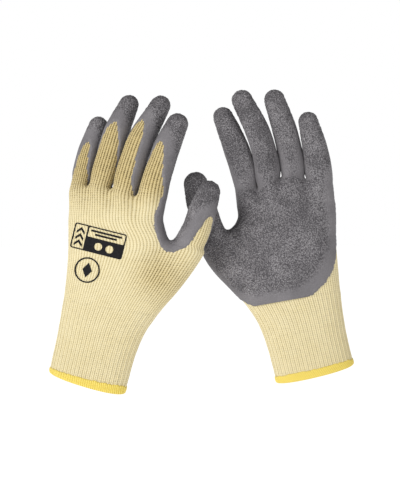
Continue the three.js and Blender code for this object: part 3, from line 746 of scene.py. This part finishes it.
def new_object(name, points, faces, uvs=None, material=None, attributes=None, flat=None):
    """An object from points in millimetres. faces is a list of arrays, each with one number of corners."""
    mesh = bpy.data.meshes.new(name)
    sizes = np.concatenate([np.full(len(f), f.shape[1]) for f in faces])
    loops = np.concatenate([f.ravel() for f in faces])
    mesh.vertices.add(len(points))
    mesh.vertices.foreach_set("co", (np.asarray(points) * MM).astype(np.float32).ravel())
    mesh.loops.add(len(loops))
    mesh.loops.foreach_set("vertex_index", loops.astype(np.int32))
    mesh.polygons.add(len(sizes))
    mesh.polygons.foreach_set("loop_start", (np.cumsum(sizes) - sizes).astype(np.int32))
    mesh.polygons.foreach_set("loop_total", sizes.astype(np.int32))
    smooth = np.ones(len(sizes), bool) if flat is None else ~flat
    mesh.polygons.foreach_set("use_smooth", smooth)
    if uvs is not None:
        layer = mesh.uv_layers.new(name="stitch")
        layer.data.foreach_set("uv", uvs.astype(np.float32).ravel())
    for key, values in (attributes or {}).items():
        mesh.attributes.new(key, "FLOAT", "POINT").data.foreach_set("value", values.astype(np.float32))
    mesh.update()
    mesh.validate()
    if material:
        mesh.materials.append(material)
    obj = bpy.data.objects.new(name, mesh)
    bpy.context.scene.collection.objects.link(obj)
    return obj


def read(data, key, width=1, kind=np.float32):
    """One value of every element of some mesh data, or width values for each."""
    values = np.zeros(len(data) * width, kind)
    data.foreach_get(key, values)
    return values if width == 1 else values.reshape(-1, width).astype(float)


def border(faces):
    """The edges round some faces, in the faces' order."""
    edges = directed_edges(faces)
    span = int(faces.max()) + 1
    forward, reverse = edges[:, 0] * span + edges[:, 1], edges[:, 1] * span + edges[:, 0]
    return edges[~np.isin(forward, reverse)].tolist()


class FineSkin:
    """The cage after two levels of subdivision, as arrays."""

    def __init__(self, cage):
        tri = cage.quads[:, 3] < 0
        self.cage = cage
        order = np.concatenate([np.where(~tri)[0], np.where(tri)[0]])
        self.quads, self.uvs, self.parts = cage.quads[order], cage.uvs[order], cage.parts[order]
        quads, tris = cage.quads[~tri], cage.quads[tri][:, :3]
        loop_uvs = np.concatenate([cage.uvs[~tri].reshape(-1, 2), cage.uvs[tri][:, :3].reshape(-1, 2)])
        attributes = dict(film=cage.film, rib=cage.rib, stretch=cage.stretch)
        source = new_object("cage", cage.points, [quads, tris], loop_uvs, attributes=attributes)
        number = source.data.attributes.new("cage_face", "INT", "FACE")
        number.data.foreach_set("value", np.arange(len(order), dtype=np.int32))
        modifier = source.modifiers.new("subdivide", "SUBSURF")
        modifier.levels = 2
        modifier.uv_smooth = "NONE"
        evaluated = source.evaluated_get(bpy.context.evaluated_depsgraph_get())
        mesh = evaluated.to_mesh()
        self.points = read(mesh.vertices, "co", 3) / MM
        self.normals = read(mesh.vertex_normals, "vector", 3)
        self.faces = read(mesh.loops, "vertex_index", kind=np.int32).reshape(-1, 4)
        self.face_uvs = read(mesh.uv_layers["stitch"].data, "uv", 2).reshape(-1, 4, 2)
        self.film, self.rib, self.stretch = (read(mesh.attributes[key].data, "value") for key in attributes)
        self.cage_face = read(mesh.attributes["cage_face"].data, "value", kind=np.int32)
        evaluated.to_mesh_clear()
        bpy.data.objects.remove(source)
        self.uv = np.zeros((len(self.points), 2))
        self.uv[self.faces.ravel()] = self.face_uvs.reshape(-1, 2)

    def shell(self, name, chosen, outer, inner, material, attributes=None):
        """A closed shell over the chosen cage faces: fine outside at outer, coarse inside at inner."""
        fine = chosen[self.cage_face]
        faces = self.faces[fine]
        used, numbers = np.unique(faces, return_inverse=True)
        faces_out = numbers.reshape(-1, 4)
        place = np.full(len(self.points), -1)
        place[used] = np.arange(len(used))
        outside = (self.points + self.normals * outer[:, None])[used]

        quads = self.quads[chosen]
        tri = quads[:, 3] < 0
        corners = np.unique(quads[quads >= 0])
        inside_place = np.full(len(self.points), -1)
        inside_place[corners] = len(used) + np.arange(len(corners))
        inside = self.points[corners] + self.normals[corners] * inner
        inner_quads = inside_place[quads[~tri][:, ::-1]]
        inner_tris = inside_place[quads[tri][:, 2::-1]]

        # Rim: one polygon for each cage edge along the border
        following = dict(border(faces))
        rim = []
        for a, b in border(quads):
            path = [a]
            while path[-1] != b:
                path.append(following[path[-1]])
            rim.append([*place[path[::-1]], inside_place[a], inside_place[b]])
        rim = np.array(rim).reshape(-1, FINE + 3)
        uvs = [self.face_uvs[fine].reshape(-1, 2), self.uvs[chosen][~tri][:, ::-1].reshape(-1, 2)]
        uvs.append(self.uvs[chosen][tri][:, 2::-1].reshape(-1, 2))
        uvs.append(self.uv[np.concatenate([used, corners])[rim.ravel()]])
        groups = [faces_out, inner_quads, inner_tris, rim]
        uvs = np.concatenate([u for u, g in zip(uvs, groups) if len(g)])
        groups = [g for g in groups if len(g)]
        flat = np.zeros(sum(map(len, groups)), bool)
        flat[len(flat) - len(rim) :] = True
        values = {k: np.concatenate([v[used], v[corners]]) for k, v in (attributes or {}).items()}
        return new_object(name, np.concatenate([outside, inside]), groups, uvs, material, values, flat)


# ---------------------------------------------------------------- relief


def knit_relief(fine):
    """Height of the knit over the skin: wales, the V of each stitch, and the cuff's ribs."""
    u, v = fine.uv[:, 0], fine.uv[:, 1]
    x = np.abs((u % 1) - 0.5) * 2  # 0 in the middle of a wale, 1 in the groove
    wale = 1 - x**2.2
    leg = 0.5 + 0.5 * np.cos(2 * np.pi * (v + 0.5 * x))
    rib = RIB * np.cos(np.pi * (u - 0.5)) * fine.rib
    uneven = noise(fine.points, 9, 3) * 0.12 + noise(fine.points, 2.6, 4) * 0.07
    groove = (1 - wale) * (0.6 + 0.4 * leg) * fine.stretch
    ridge = RIDGE * (0.7 + 0.4 * fine.stretch)
    return ridge * (wale * (0.6 + 0.4 * leg) - 0.55 - 0.5 * groove) + rib + uneven


def film_relief(fine):
    """Height of the film over the skin: smooth by the border, crinkled inside it."""
    jagged = fine.film + noise(fine.points, 2.4, 11) * 0.8 + noise(fine.points, 6, 12) * 0.6
    lift = FILM_SINK + (FILM_LIFT - FILM_SINK) * smoothstep(-1.4, 1.6, jagged)
    crinkle = smoothstep(*SMOOTH_BAND, fine.film)
    folds = 1 - np.abs(noise(fine.points + 40, 3.6, 21)) * 2.2
    grain = 1 - np.abs(noise(fine.points, 1.9, 22)) * 2.0
    return lift + crinkle * (0.3 * folds + 0.26 * grain - 0.2), crinkle


# ---------------------------------------------------------------- materials


class Value:
    """A number worked out by a material's nodes. Sums on it add maths nodes."""

    def __init__(self, surface, socket):
        self.surface = surface
        self.socket = socket

    def maths(self, operation, first, second=0.0):
        made = self.surface.node("ShaderNodeMath", {0: first, 1: second}, operation=operation)
        return Value(self.surface, made.outputs[0])

    def __add__(self, other):
        return self.maths("ADD", self, other)

    def __sub__(self, other):
        return self.maths("SUBTRACT", self, other)

    def __rsub__(self, other):
        return self.maths("SUBTRACT", other, self)

    def __mul__(self, other):
        return self.maths("MULTIPLY", self, other)

    def __pow__(self, other):
        return self.maths("POWER", self, other)


class Surface:
    """A material and its nodes."""

    def __init__(self, name):
        self.material = bpy.data.materials.new(name)
        self.material.use_nodes = True
        self.tree = self.material.node_tree
        self.shader = self.tree.nodes["Principled BSDF"]

    def fill(self, node, inputs):
        """Links or sets inputs of a node, by name or by number."""
        for key, value in inputs.items():
            if isinstance(value, Value):
                self.tree.links.new(value.socket, node.inputs[key])
            else:
                node.inputs[key].default_value = value

    def node(self, kind, inputs, **settings):
        made = self.tree.nodes.new(kind)
        for key, value in settings.items():
            setattr(made, key, value)
        self.fill(made, inputs)
        return made

    def value(self, kind, output, inputs=None, **settings):
        return Value(self, self.node(kind, inputs or {}, **settings).outputs[output])

    def texture(self, kind, output, scale, **inputs):
        place = self.value("ShaderNodeTexCoord", "Object")
        return self.value(kind, output, {"Vector": place, "Scale": scale, **inputs})

    def speckle(self, scale, **inputs):
        return self.texture("ShaderNodeTexNoise", "Fac", scale, **inputs)

    def attribute(self, name):
        return self.value("ShaderNodeAttribute", "Fac", attribute_name=name)

    def ramp(self, value, *stops):
        made = self.node("ShaderNodeValToRGB", {0: value})
        elements = made.color_ramp.elements
        while len(elements) < len(stops):
            elements.new(0.5)
        for element, (position, colour) in zip(elements, stops):
            element.position = position
            element.color = (*colour, 1)
        return Value(self, made.outputs[0])

    def mix(self, share, first, second, blend="MIX"):
        """Two colours mixed. They are a colour mix node's inputs 6 and 7, and its output 2."""
        inputs = {"Factor": share, 6: first, 7: second}
        return self.value("ShaderNodeMix", 2, inputs, data_type="RGBA", blend_type=blend)

    def finish(self, height=None, distance=0.0, strength=1.0, **inputs):
        """Fills the shader's inputs, whose names have spaces for underscores, and adds a bump."""
        self.fill(self.shader, {key.replace("_", " "): value for key, value in inputs.items()})
        if height:
            bump = {"Height": height, "Distance": distance, "Strength": strength}
            self.fill(self.shader, {"Normal": self.value("ShaderNodeBump", 0, bump)})
        return self.material


def knit_material():
    """Yarn with the V of each stitch, from the mesh's columns and rows. Painted shade darkens the grooves
    between the wales, the gaps where the knit is open, and the whole knit where it is pulled open.
    """
    surface = Surface("knit")
    uv = surface.value("ShaderNodeUVMap", 0, uv_map="stitch")
    split = surface.node("ShaderNodeSeparateXYZ", {0: uv})
    u, v = (Value(surface, output) for output in split.outputs[:2])
    from_middle = u.maths("ABSOLUTE", u.maths("FRACT", u) - 0.5) * 2.0
    leg = u.maths("SINE", (v + from_middle * 0.5) * (2 * math.pi)) * 0.5 + 0.5
    height = (1.0 - from_middle**3.0) * (leg * 0.45 + 0.55)

    fibre = surface.speckle(1900.0, Detail=4.0)
    patch = surface.speckle(70.0, Detail=3.0)
    stretch = surface.attribute("stretch")
    # Painted shade: the grooves between the wales are painted darker, more so where the knit is stretched;
    # fibre and patch are the yarn's own random tone.
    shade = (0.93 - (1.0 - height) * (stretch * 0.5 + 0.5)) * 0.8 + fibre * 0.35 + (patch - 0.5) * 0.25
    shaded_yarn = surface.ramp(
        shade,
        (0.1, (0.27, 0.195, 0.075)),
        (0.42, (0.64, 0.53, 0.27)),
        (0.72, (0.755, 0.655, 0.395)),
        (1.0, (0.81, 0.725, 0.49)),
    )
    # Painted shade: where the knit is open, the gaps between its stitches are painted near-black brown.
    stitch = surface.value("ShaderNodeVectorMath", 0, {0: uv}, operation="FLOOR")
    chance = surface.value("ShaderNodeTexWhiteNoise", "Value", {"Vector": stitch})
    gap = from_middle**1.7 * stretch * (1.15 - leg * 0.85) * (chance + 0.5)
    # Painted shade: the knit's colour is multiplied darker where it is pulled open, most on the digits.
    pulled = surface.value("ShaderNodeMapRange", 0, {0: stretch, 1: PALM_STRETCH, 2: 1.0})
    shaded_yarn = surface.mix(pulled, shaded_yarn, (0.8, 0.74, 0.6, 1), "MULTIPLY")
    return surface.finish(
        height + fibre * 0.35,
        distance=0.00035,
        strength=0.8,
        # The gaps' painted shade, laid over the yarn's colour
        Base_Color=surface.mix(gap, shaded_yarn, (0.09, 0.06, 0.02, 1)),
        Roughness=0.92,
        Sheen_Weight=0.12,
        Sheen_Roughness=0.5,
        Specular_IOR_Level=0.2,
    )


def latex_material():
    """Dark rubber, pitted where it is crinkled and even where it is smooth. Its colour is a faint random
    mottle, with painted shade in the pits and painted highlights on the grains, strongest where it is
    crinkled.
    """
    surface = Surface("latex")
    crinkle = surface.attribute("crinkle")
    grain = surface.speckle(900.0, Detail=5.0, Roughness=0.6)
    cell = surface.texture("ShaderNodeTexVoronoi", "Distance", 880.0)
    cloud = surface.speckle(60.0, Detail=2.0)
    # Painted shade and highlight: the crinkle's hollows are painted darker and its grains lighter, over a
    # random cloud of tone; crinkled film is also painted a little lighter and with more contrast.
    crinkle_shade_and_mottle = grain * 0.6 + cloud * 0.4 - (cell - 0.35) * crinkle * 0.55
    crinkle_shade_and_mottle = (crinkle_shade_and_mottle - 0.5) * (crinkle * 0.8 + 0.5) + (crinkle * 0.04 + 0.475)
    colour = surface.ramp(
        crinkle_shade_and_mottle,
        (0.25, (0.075, 0.07, 0.075)),
        (0.5, (0.18, 0.17, 0.178)),
        (0.75, (0.34, 0.325, 0.335)),
    )
    return surface.finish(
        (grain * 0.5 - cell * 0.8) * (crinkle * 0.85 + 0.15),
        distance=0.001,
        strength=0.9,
        Base_Color=colour,
        Specular_IOR_Level=0.35,
        Roughness=grain * 0.3 + 0.5,
    )


def hem_material():
    surface = Surface("hem")
    fibre = surface.speckle(1600.0, Detail=4.0)
    # Painted shade: the grooves between the thread's wraps are painted dark brown; the fibre noise is the
    # thread's own tone.
    shade = surface.attribute("thread") * 0.6 + fibre * 0.5
    stops = [(0.25, (0.3, 0.17, 0.006)), (0.5, (0.74, 0.55, 0.07)), (0.9, (0.86, 0.71, 0.18))]
    colour = surface.ramp(shade, *stops)
    return surface.finish(
        fibre, distance=0.0002, strength=0.6, Base_Color=colour, Roughness=0.75, Sheen_Weight=0.2
    )


def ink_material():
    surface = Surface("print_ink")
    speck = surface.speckle(700.0, Detail=3.0)
    colour = surface.ramp(speck, (0.3, (0.004, 0.004, 0.005)), (0.8, (0.016, 0.015, 0.016)))
    return surface.finish(
        speck, distance=0.0001, strength=0.5, Base_Color=colour, Roughness=0.7, Specular_IOR_Level=0.15
    )


def elastic_material():
    surface = Surface("elastic_thread")
    wrap = surface.texture("ShaderNodeTexWave", "Fac", 900.0, Distortion=2.0)
    colour = surface.ramp(wrap, (0.2, (0.55, 0.5, 0.38)), (0.8, (0.85, 0.81, 0.68)))
    return surface.finish(Base_Color=colour, Roughness=0.6)


# ---------------------------------------------------------------- pieces


def hem(name, cage, material):
    """The overlocked edge: thread wound round the rim of the cuff, over and over."""
    courses_used, steps, loop = 9, 8, 28
    side_height, front_height = 3.4, 5.4
    under, proud, inside = -0.9, 0.85, -2.3
    rows = [cage.points[ids] for ids in cage.low_ids[:courses_used]]
    heights = np.array(cage.course_heights[:courses_used])
    count = CUFF_RING * steps
    column = np.arange(count) / steps
    low = column.astype(int)
    part = (column - low)[:, None]
    smooth = [r[low] * (1 - part) + r[(low + 1) % CUFF_RING] * part for r in rows]
    smooth = np.array([(np.roll(r, 2, 0) + np.roll(r, -2, 0) + 2 * r) / 4 for r in smooth])
    around = unit(np.roll(smooth, -1, axis=1) - np.roll(smooth, 1, axis=1))
    up = unit(smooth[-1] - smooth[0])
    out = unit(np.cross(around, up[None]))
    front = np.clip(np.abs(out[0][:, 1]), 0, 1) ** 1.5
    tall = side_height + (front_height - side_height) * front
    chance = np.random.RandomState(5).rand(CUFF_RING)[low]
    tall = tall + 0.7 * (chance - 0.5) + 0.3 * np.abs(np.sin(np.pi * column))
    middle, reach = (proud + inside) / 2, (proud - inside) / 2
    index = np.arange(count)
    points, thread = [], []
    # Round the rim: up the outside, over the top, down the inside and under the edge
    for angle in 2 * np.pi * np.arange(loop) / loop:
        lift = 0.5 - 0.5 * math.cos(angle)
        across = math.sin(angle)
        outside = across >= 0
        wound = np.abs(np.sin(np.pi * (column + lift * 1.6 * (1 if outside else -1))))
        height = under + lift * (tall * (1 if outside else 0.8) - under)
        offset = middle + reach * np.sign(across) * abs(across) ** 0.35
        offset = offset + 0.35 * wound * np.sign(across + 1e-9)
        at = np.clip(height, heights[0], heights[-1])
        row = np.clip(np.searchsorted(heights, at, side="right") - 1, 0, len(heights) - 2)
        share = ((at - heights[row]) / (heights[row + 1] - heights[row]))[:, None]
        p = smooth[row, index] * (1 - share) + smooth[row + 1, index] * share
        p = p + up * np.minimum(height - heights[0], 0)[:, None] + out[row, index] * offset[:, None]
        points.append(p)
        thread.append(wound)
    grid = np.arange(loop * count).reshape(loop, count)
    after, beside = np.roll(grid, -1, axis=0), np.roll(grid, -1, axis=1)
    corner = np.roll(after, -1, axis=1)
    faces = np.stack([grid, beside, corner, after], axis=-1).reshape(-1, 4)
    # The winding also sets the hem's painted shade between the wraps.
    attributes = dict(thread=np.concatenate(thread))
    return new_object(name, np.concatenate(points), [faces], material=material, attributes=attributes)


def tube_mesh(name, path, radius, sides, material):
    """A round thread with closed ends along a path."""
    along = unit(np.gradient(path, axis=0))
    side = unit(np.cross(along, [0.0, 0.0, 1.0]))
    over = np.cross(side, along)
    angles = (2 * np.pi * np.arange(sides) / sides)[None, :, None]
    rings = path[:, None] + radius * (np.cos(angles) * side[:, None] + np.sin(angles) * over[:, None])
    grid = np.arange(len(path) * sides).reshape(len(path), sides)
    beside = np.roll(grid, -1, axis=1)
    faces = np.stack([grid[:-1], grid[1:], beside[1:], beside[:-1]], axis=-1).reshape(-1, 4)
    caps = np.stack([grid[0], grid[-1][::-1]])
    return new_object(name, rings.reshape(-1, 3), [faces, caps], material=material)


def elastic(name, cage, material):
    """Elastic thread that spirals up the inside of the cuff."""
    turns, start, end = 5, 10, 54
    radius, sides, gap = 0.4, 8, 0.9
    heights = np.array(cage.course_heights)
    path = []
    for i in range(turns * CUFF_RING + 1):
        height = start + (end - start) * i / (turns * CUFF_RING)
        row = int(np.searchsorted(heights, height)) - 1
        share = (height - heights[row]) / (heights[row + 1] - heights[row])
        ring = cage.points[cage.low_ids[row]] * (1 - share) + cage.points[cage.low_ids[row + 1]] * share
        j = i % CUFF_RING
        around = ring[(j + 1) % CUFF_RING] - ring[j - 1]
        inward = unit(np.cross([0, 0, 1.0], around))
        path.append(ring[j] + inward * (KNIT_THICKNESS + gap))
    return tube_mesh(name, np.array(path), radius, sides, material)


def flat_shapes(outlines):
    """A filled flat mesh, with holes where outlines lie inside each other, cut into small cells."""
    curve = bpy.data.curves.new("outline", "CURVE")
    curve.dimensions = "2D"
    curve.fill_mode = "BOTH"
    for outline in outlines:
        spline = curve.splines.new("POLY")
        spline.points.add(len(outline) - 1)
        for point, (x, y) in zip(spline.points, outline):
            point.co = (x, y, 0, 1)
        spline.use_cyclic_u = True
    holder = bpy.data.objects.new("outline", curve)
    bpy.context.scene.collection.objects.link(holder)
    made = bmesh.new()
    evaluated = holder.evaluated_get(bpy.context.evaluated_depsgraph_get())
    made.from_mesh(evaluated.to_mesh())
    evaluated.to_mesh_clear()
    bpy.data.objects.remove(holder)
    bpy.data.curves.remove(curve)
    bmesh.ops.remove_doubles(made, verts=made.verts, dist=1e-4)
    reach = [max(abs(v.co[k]) for v in made.verts) for k in range(2)]
    for axis in range(2):
        for cut in np.arange(-math.floor(reach[axis]), reach[axis], 1.0):
            where, normal = [0, 0, 0], [0, 0, 0]
            where[axis], normal[axis] = cut, 1
            geometry = made.verts[:] + made.edges[:] + made.faces[:]
            bmesh.ops.bisect_plane(made, geom=geometry, plane_co=where, plane_no=normal)
    bmesh.ops.remove_doubles(made, verts=made.verts, dist=0.01)
    return made


def rounded_box(x0, y0, x1, y1, r=0.0):
    if not r:
        return [(x0, y0), (x1, y0), (x1, y1), (x0, y1)]
    corners = [(x1 - r, y1 - r, 0), (x0 + r, y1 - r, 90), (x0 + r, y0 + r, 180), (x1 - r, y0 + r, 270)]
    return [
        (cx + r * math.cos(math.radians(start + step)), cy + r * math.sin(math.radians(start + step)))
        for cx, cy, start in corners
        for step in range(0, 91, 15)
    ]


def circle(r, steps=48):
    return [(r * math.cos(a), r * math.sin(a)) for a in 2 * np.pi * np.arange(steps) / steps]


def panel_outlines():
    """A rounded frame, with chevrons in its left cell, plain bars above and a dark block with discs below."""
    frame_edge = rounded_box(-23, -11, 23, 11, 2)
    bar_cell, chevron_cell = rounded_box(-10.2, 1.6, 22, 10, 0.8), rounded_box(-22, -10, -11.4, 10, 0.8)
    outlines = [frame_edge, bar_cell, chevron_cell]
    left, middle, right, thick = -20.2, -16.7, -13.2, 2.3
    for k in range(3):
        foot = -8.6 + 5.4 * k
        peak = foot + 3.5
        lower = [(left, foot), (middle, peak), (right, foot)]
        outlines.append(lower + [(x, y + thick) for x, y in reversed(lower)])
    for k, (start, end) in enumerate([(-8, 19), (-4, 15)]):
        outlines.append(rounded_box(start, 6.6 - 2.9 * k, end, 8.2 - 2.9 * k))
    return outlines + [rounded_box(x, -8.2, x + 7, -1.6, 3.2) for x in (-2.5, 7.5)]


def roundel_outlines():
    """A plain ring round a solid lozenge."""
    return [circle(11), circle(9.8), [(0, -6.4), (4.2, 0), (0, 6.4), (-4.2, 0)]]


def printed(name, outlines, place, tilt, skin, side, material):
    """Ink laid flat on the tops of the wales, on the side that the back of the hand faces."""
    top_lift, base_lift, far = 0.42, 0.1, 200
    flat = flat_shapes(outlines)
    turn = math.radians(tilt)
    mirror = -side  # seen from outside, the mark reads the same on both gloves
    top, base = [], []
    for vertex in flat.verts:
        x, y = vertex.co.x * mirror, vertex.co.y
        px = place[0] + x * math.cos(turn) - y * math.sin(turn)
        pz = place[1] + x * math.sin(turn) + y * math.cos(turn)
        hit, normal, _, _ = skin.ray_cast(Vector((px, side * far, pz)), Vector((0, -side, 0)))
        top.append(list(hit + normal * top_lift))
        base.append(list(hit + normal * base_lift))
    flat.verts.index_update()
    flat.normal_update()
    # The flat mesh faces one way all over, and its faces are turned where that way is down
    turned = sum(f.normal.z * f.calc_area() for f in flat.faces) <= 0
    order = -1 if turned else 1
    count = len(top)
    polygons = [[v.index for v in f.verts][::order] for f in flat.faces]
    polygons += [[i + count for i in f[::-1]] for f in polygons]
    for edge in flat.edges:
        if edge.is_boundary:
            loop = edge.link_loops[0]
            a, b = [loop.vert.index, loop.link_loop_next.vert.index][::order]
            polygons.append([b, a, a + count, b + count])
    flat.free()
    groups = {}
    for polygon in polygons:
        groups.setdefault(len(polygon), []).append(polygon)
    faces = [np.array(group) for group in groups.values()]
    return new_object(name, np.array(top + base), faces, material=material)


# ---------------------------------------------------------------- the gloves


def joint_of(body):
    return next(j for j in frame["joints"] if j["child"] == body)


def bend(piece, glove, digit, tube):
    """Bakes the piece's place into its mesh. It also finds the digit's hinge along its tube and the span
    round it, but does not use them.
    """
    before, beyond = 7, 12
    hinge = np.array(joint_of(f"{glove}_{digit}")["pos_m"]) / MM
    at = tube.arc[np.argmin(np.linalg.norm(tube.line - hinge, axis=1))]
    along, _, middle, _ = tube.frame(at)
    start, end = (middle - along * before) * MM, (middle + along * beyond) * MM
    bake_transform(piece)


def glove(plan, materials):
    name = plan["name"]
    cage = Cage(plan)
    fine = FineSkin(cage)
    relief = knit_relief(fine)
    film, crinkle = film_relief(fine)
    parts = fine.parts
    cuff_courses = sum(height < CUFF_HEIGHT for height in cage.course_heights)
    in_cuff = (parts == "low") & (fine.uvs[:, 0, 1] < cuff_courses)
    in_hand = (parts == "low") & ~in_cuff | (parts == "palm")
    corner_film = np.where(fine.quads >= 0, cage.film[fine.quads], -np.inf)
    coated = corner_film.max(axis=1) > -FILM_MARGIN

    def knit(piece, chosen):
        layer = (relief, -KNIT_THICKNESS, materials["knit"], dict(stretch=fine.stretch))
        return fine.shell(f"{name}_{piece}", chosen, *layer)

    def coat(piece, chosen):
        layer = (film, FILM_UNDER, materials["latex"], dict(crinkle=crinkle))
        return fine.shell(f"{name}_{piece}", chosen & coated, *layer)

    def keep(piece, node, rides=True):
        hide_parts(f"{name}_{node}")
        if rides:
            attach(piece, f"{name}_hand")

    keep(knit("ribbed_cuff", in_cuff), "knit_cuff")
    keep(knit("back_and_palm", in_hand), "knit_hand")
    keep(coat("palm_coat", in_hand), "palm_film")
    for digit in DIGITS:
        stall = knit(f"{digit}_knit", parts == digit)
        cover = coat(f"{digit}_coat", parts == digit)
        keep(stall, f"{digit}_stall", rides=False)
        keep(cover, f"{digit}_film", rides=False)
        for piece in (stall, cover):
            bend(piece, name, digit, cage.tubes[digit])
    keep(hem(f"{name}_overlocked_hem", cage, materials["hem"]), "cuff_hem")
    keep(elastic(f"{name}_elastic_thread", cage, materials["elastic"]), "cuff_elastic")
    corners = [[int(i) for i in q if i >= 0] for q in cage.quads]
    skin = BVHTree.FromPolygons([Vector(p) for p in cage.points], corners, all_triangles=False)
    mark = plan["print"]
    marks = [
        ("panel_mark", panel_outlines(), mark["middle"], "print_panel"),
        ("ring_mark", roundel_outlines(), mark["roundel"], "print_roundel"),
    ]
    for piece, outlines, place, node in marks:
        ink = printed(f"{name}_{piece}", outlines, place, mark["tilt"], skin, plan["side"], materials["ink"])
        keep(ink, node)


# ---------------------------------------------------------------- stage, light and camera


def stage():
    """A white floor that glows enough to show no shadow, and runs to the horizon."""
    far, sides, floor_z = 60000.0, 64, cad_bounds[0][2] / MM - 2
    angles = 2 * np.pi * np.arange(sides) / sides
    rim = np.stack([far * np.cos(angles), far * np.sin(angles), np.full(sides, floor_z)], axis=1)
    paper = Surface("paper").finish(
        Base_Color=(0.2, 0.2, 0.2, 1),
        Roughness=1.0,
        Specular_IOR_Level=0.0,
        Emission_Color=(1, 1, 1, 1),
        Emission_Strength=1.0,
    )
    new_object("floor", rim, [np.arange(sides)[None]], material=paper)


def area_light(name, place, target, size, power):
    lamp = bpy.data.lights.new(name, "AREA")
    lamp.size = size
    lamp.energy = power
    obj = bpy.data.objects.new(name, lamp)
    obj.location = place
    obj.rotation_euler = (Vector(target) - Vector(place)).to_track_quat("-Z", "Y").to_euler()
    bpy.context.scene.collection.objects.link(obj)


def lights():
    middle = (Vector(cad_bounds[0]) + Vector(cad_bounds[1])) / 2
    area_light("key", (-1.6, -1.4, 1.0), middle, 1.0, 32)
    area_light("fill", (1.5, -1.8, 0.6), middle, 1.2, 7)

    # White round the horizon, and dimmer overhead
    world = bpy.data.worlds.new("studio")
    world.use_nodes = True
    tree = world.node_tree
    direction = tree.nodes.new("ShaderNodeTexCoord")
    split = tree.nodes.new("ShaderNodeSeparateXYZ")
    sky = tree.nodes.new("ShaderNodeMapRange")
    sky.interpolation_type = "SMOOTHSTEP"
    for key, value in {"From Min": 0.1, "From Max": 0.35, "To Min": 1.0, "To Max": 0.3}.items():
        sky.inputs[key].default_value = value
    background = tree.nodes["Background"]
    background.inputs["Color"].default_value = (1, 1, 1, 1)
    tree.links.new(direction.outputs["Generated"], split.inputs[0])
    tree.links.new(split.outputs["Z"], sky.inputs["Value"])
    tree.links.new(sky.outputs[0], background.inputs["Strength"])
    bpy.context.scene.world = world


def camera():
    """Level, straight in front, with a long lens that shows the gloves nearly flat."""
    view_height, picture = 0.4128, (0.09675, 0.1208)  # what the picture's height covers, and its middle
    distance, sensor = 3.0, 36.0
    data = bpy.data.cameras.new("camera")
    data.sensor_width = sensor
    data.lens = sensor * distance / view_height
    obj = bpy.data.objects.new("camera", data)
    obj.location = (picture[0], -distance, picture[1])
    obj.rotation_euler = (math.pi / 2, 0, 0)
    bpy.context.scene.collection.objects.link(obj)
    bpy.context.scene.camera = obj


camera()
materials = dict(
    knit=knit_material(),
    latex=latex_material(),
    hem=hem_material(),
    ink=ink_material(),
    elastic=elastic_material(),
)
for plan in (GLOVE_A, GLOVE_B):
    glove(plan, materials)
stage()
lights()
bpy.context.scene.view_settings.view_transform = "Standard"
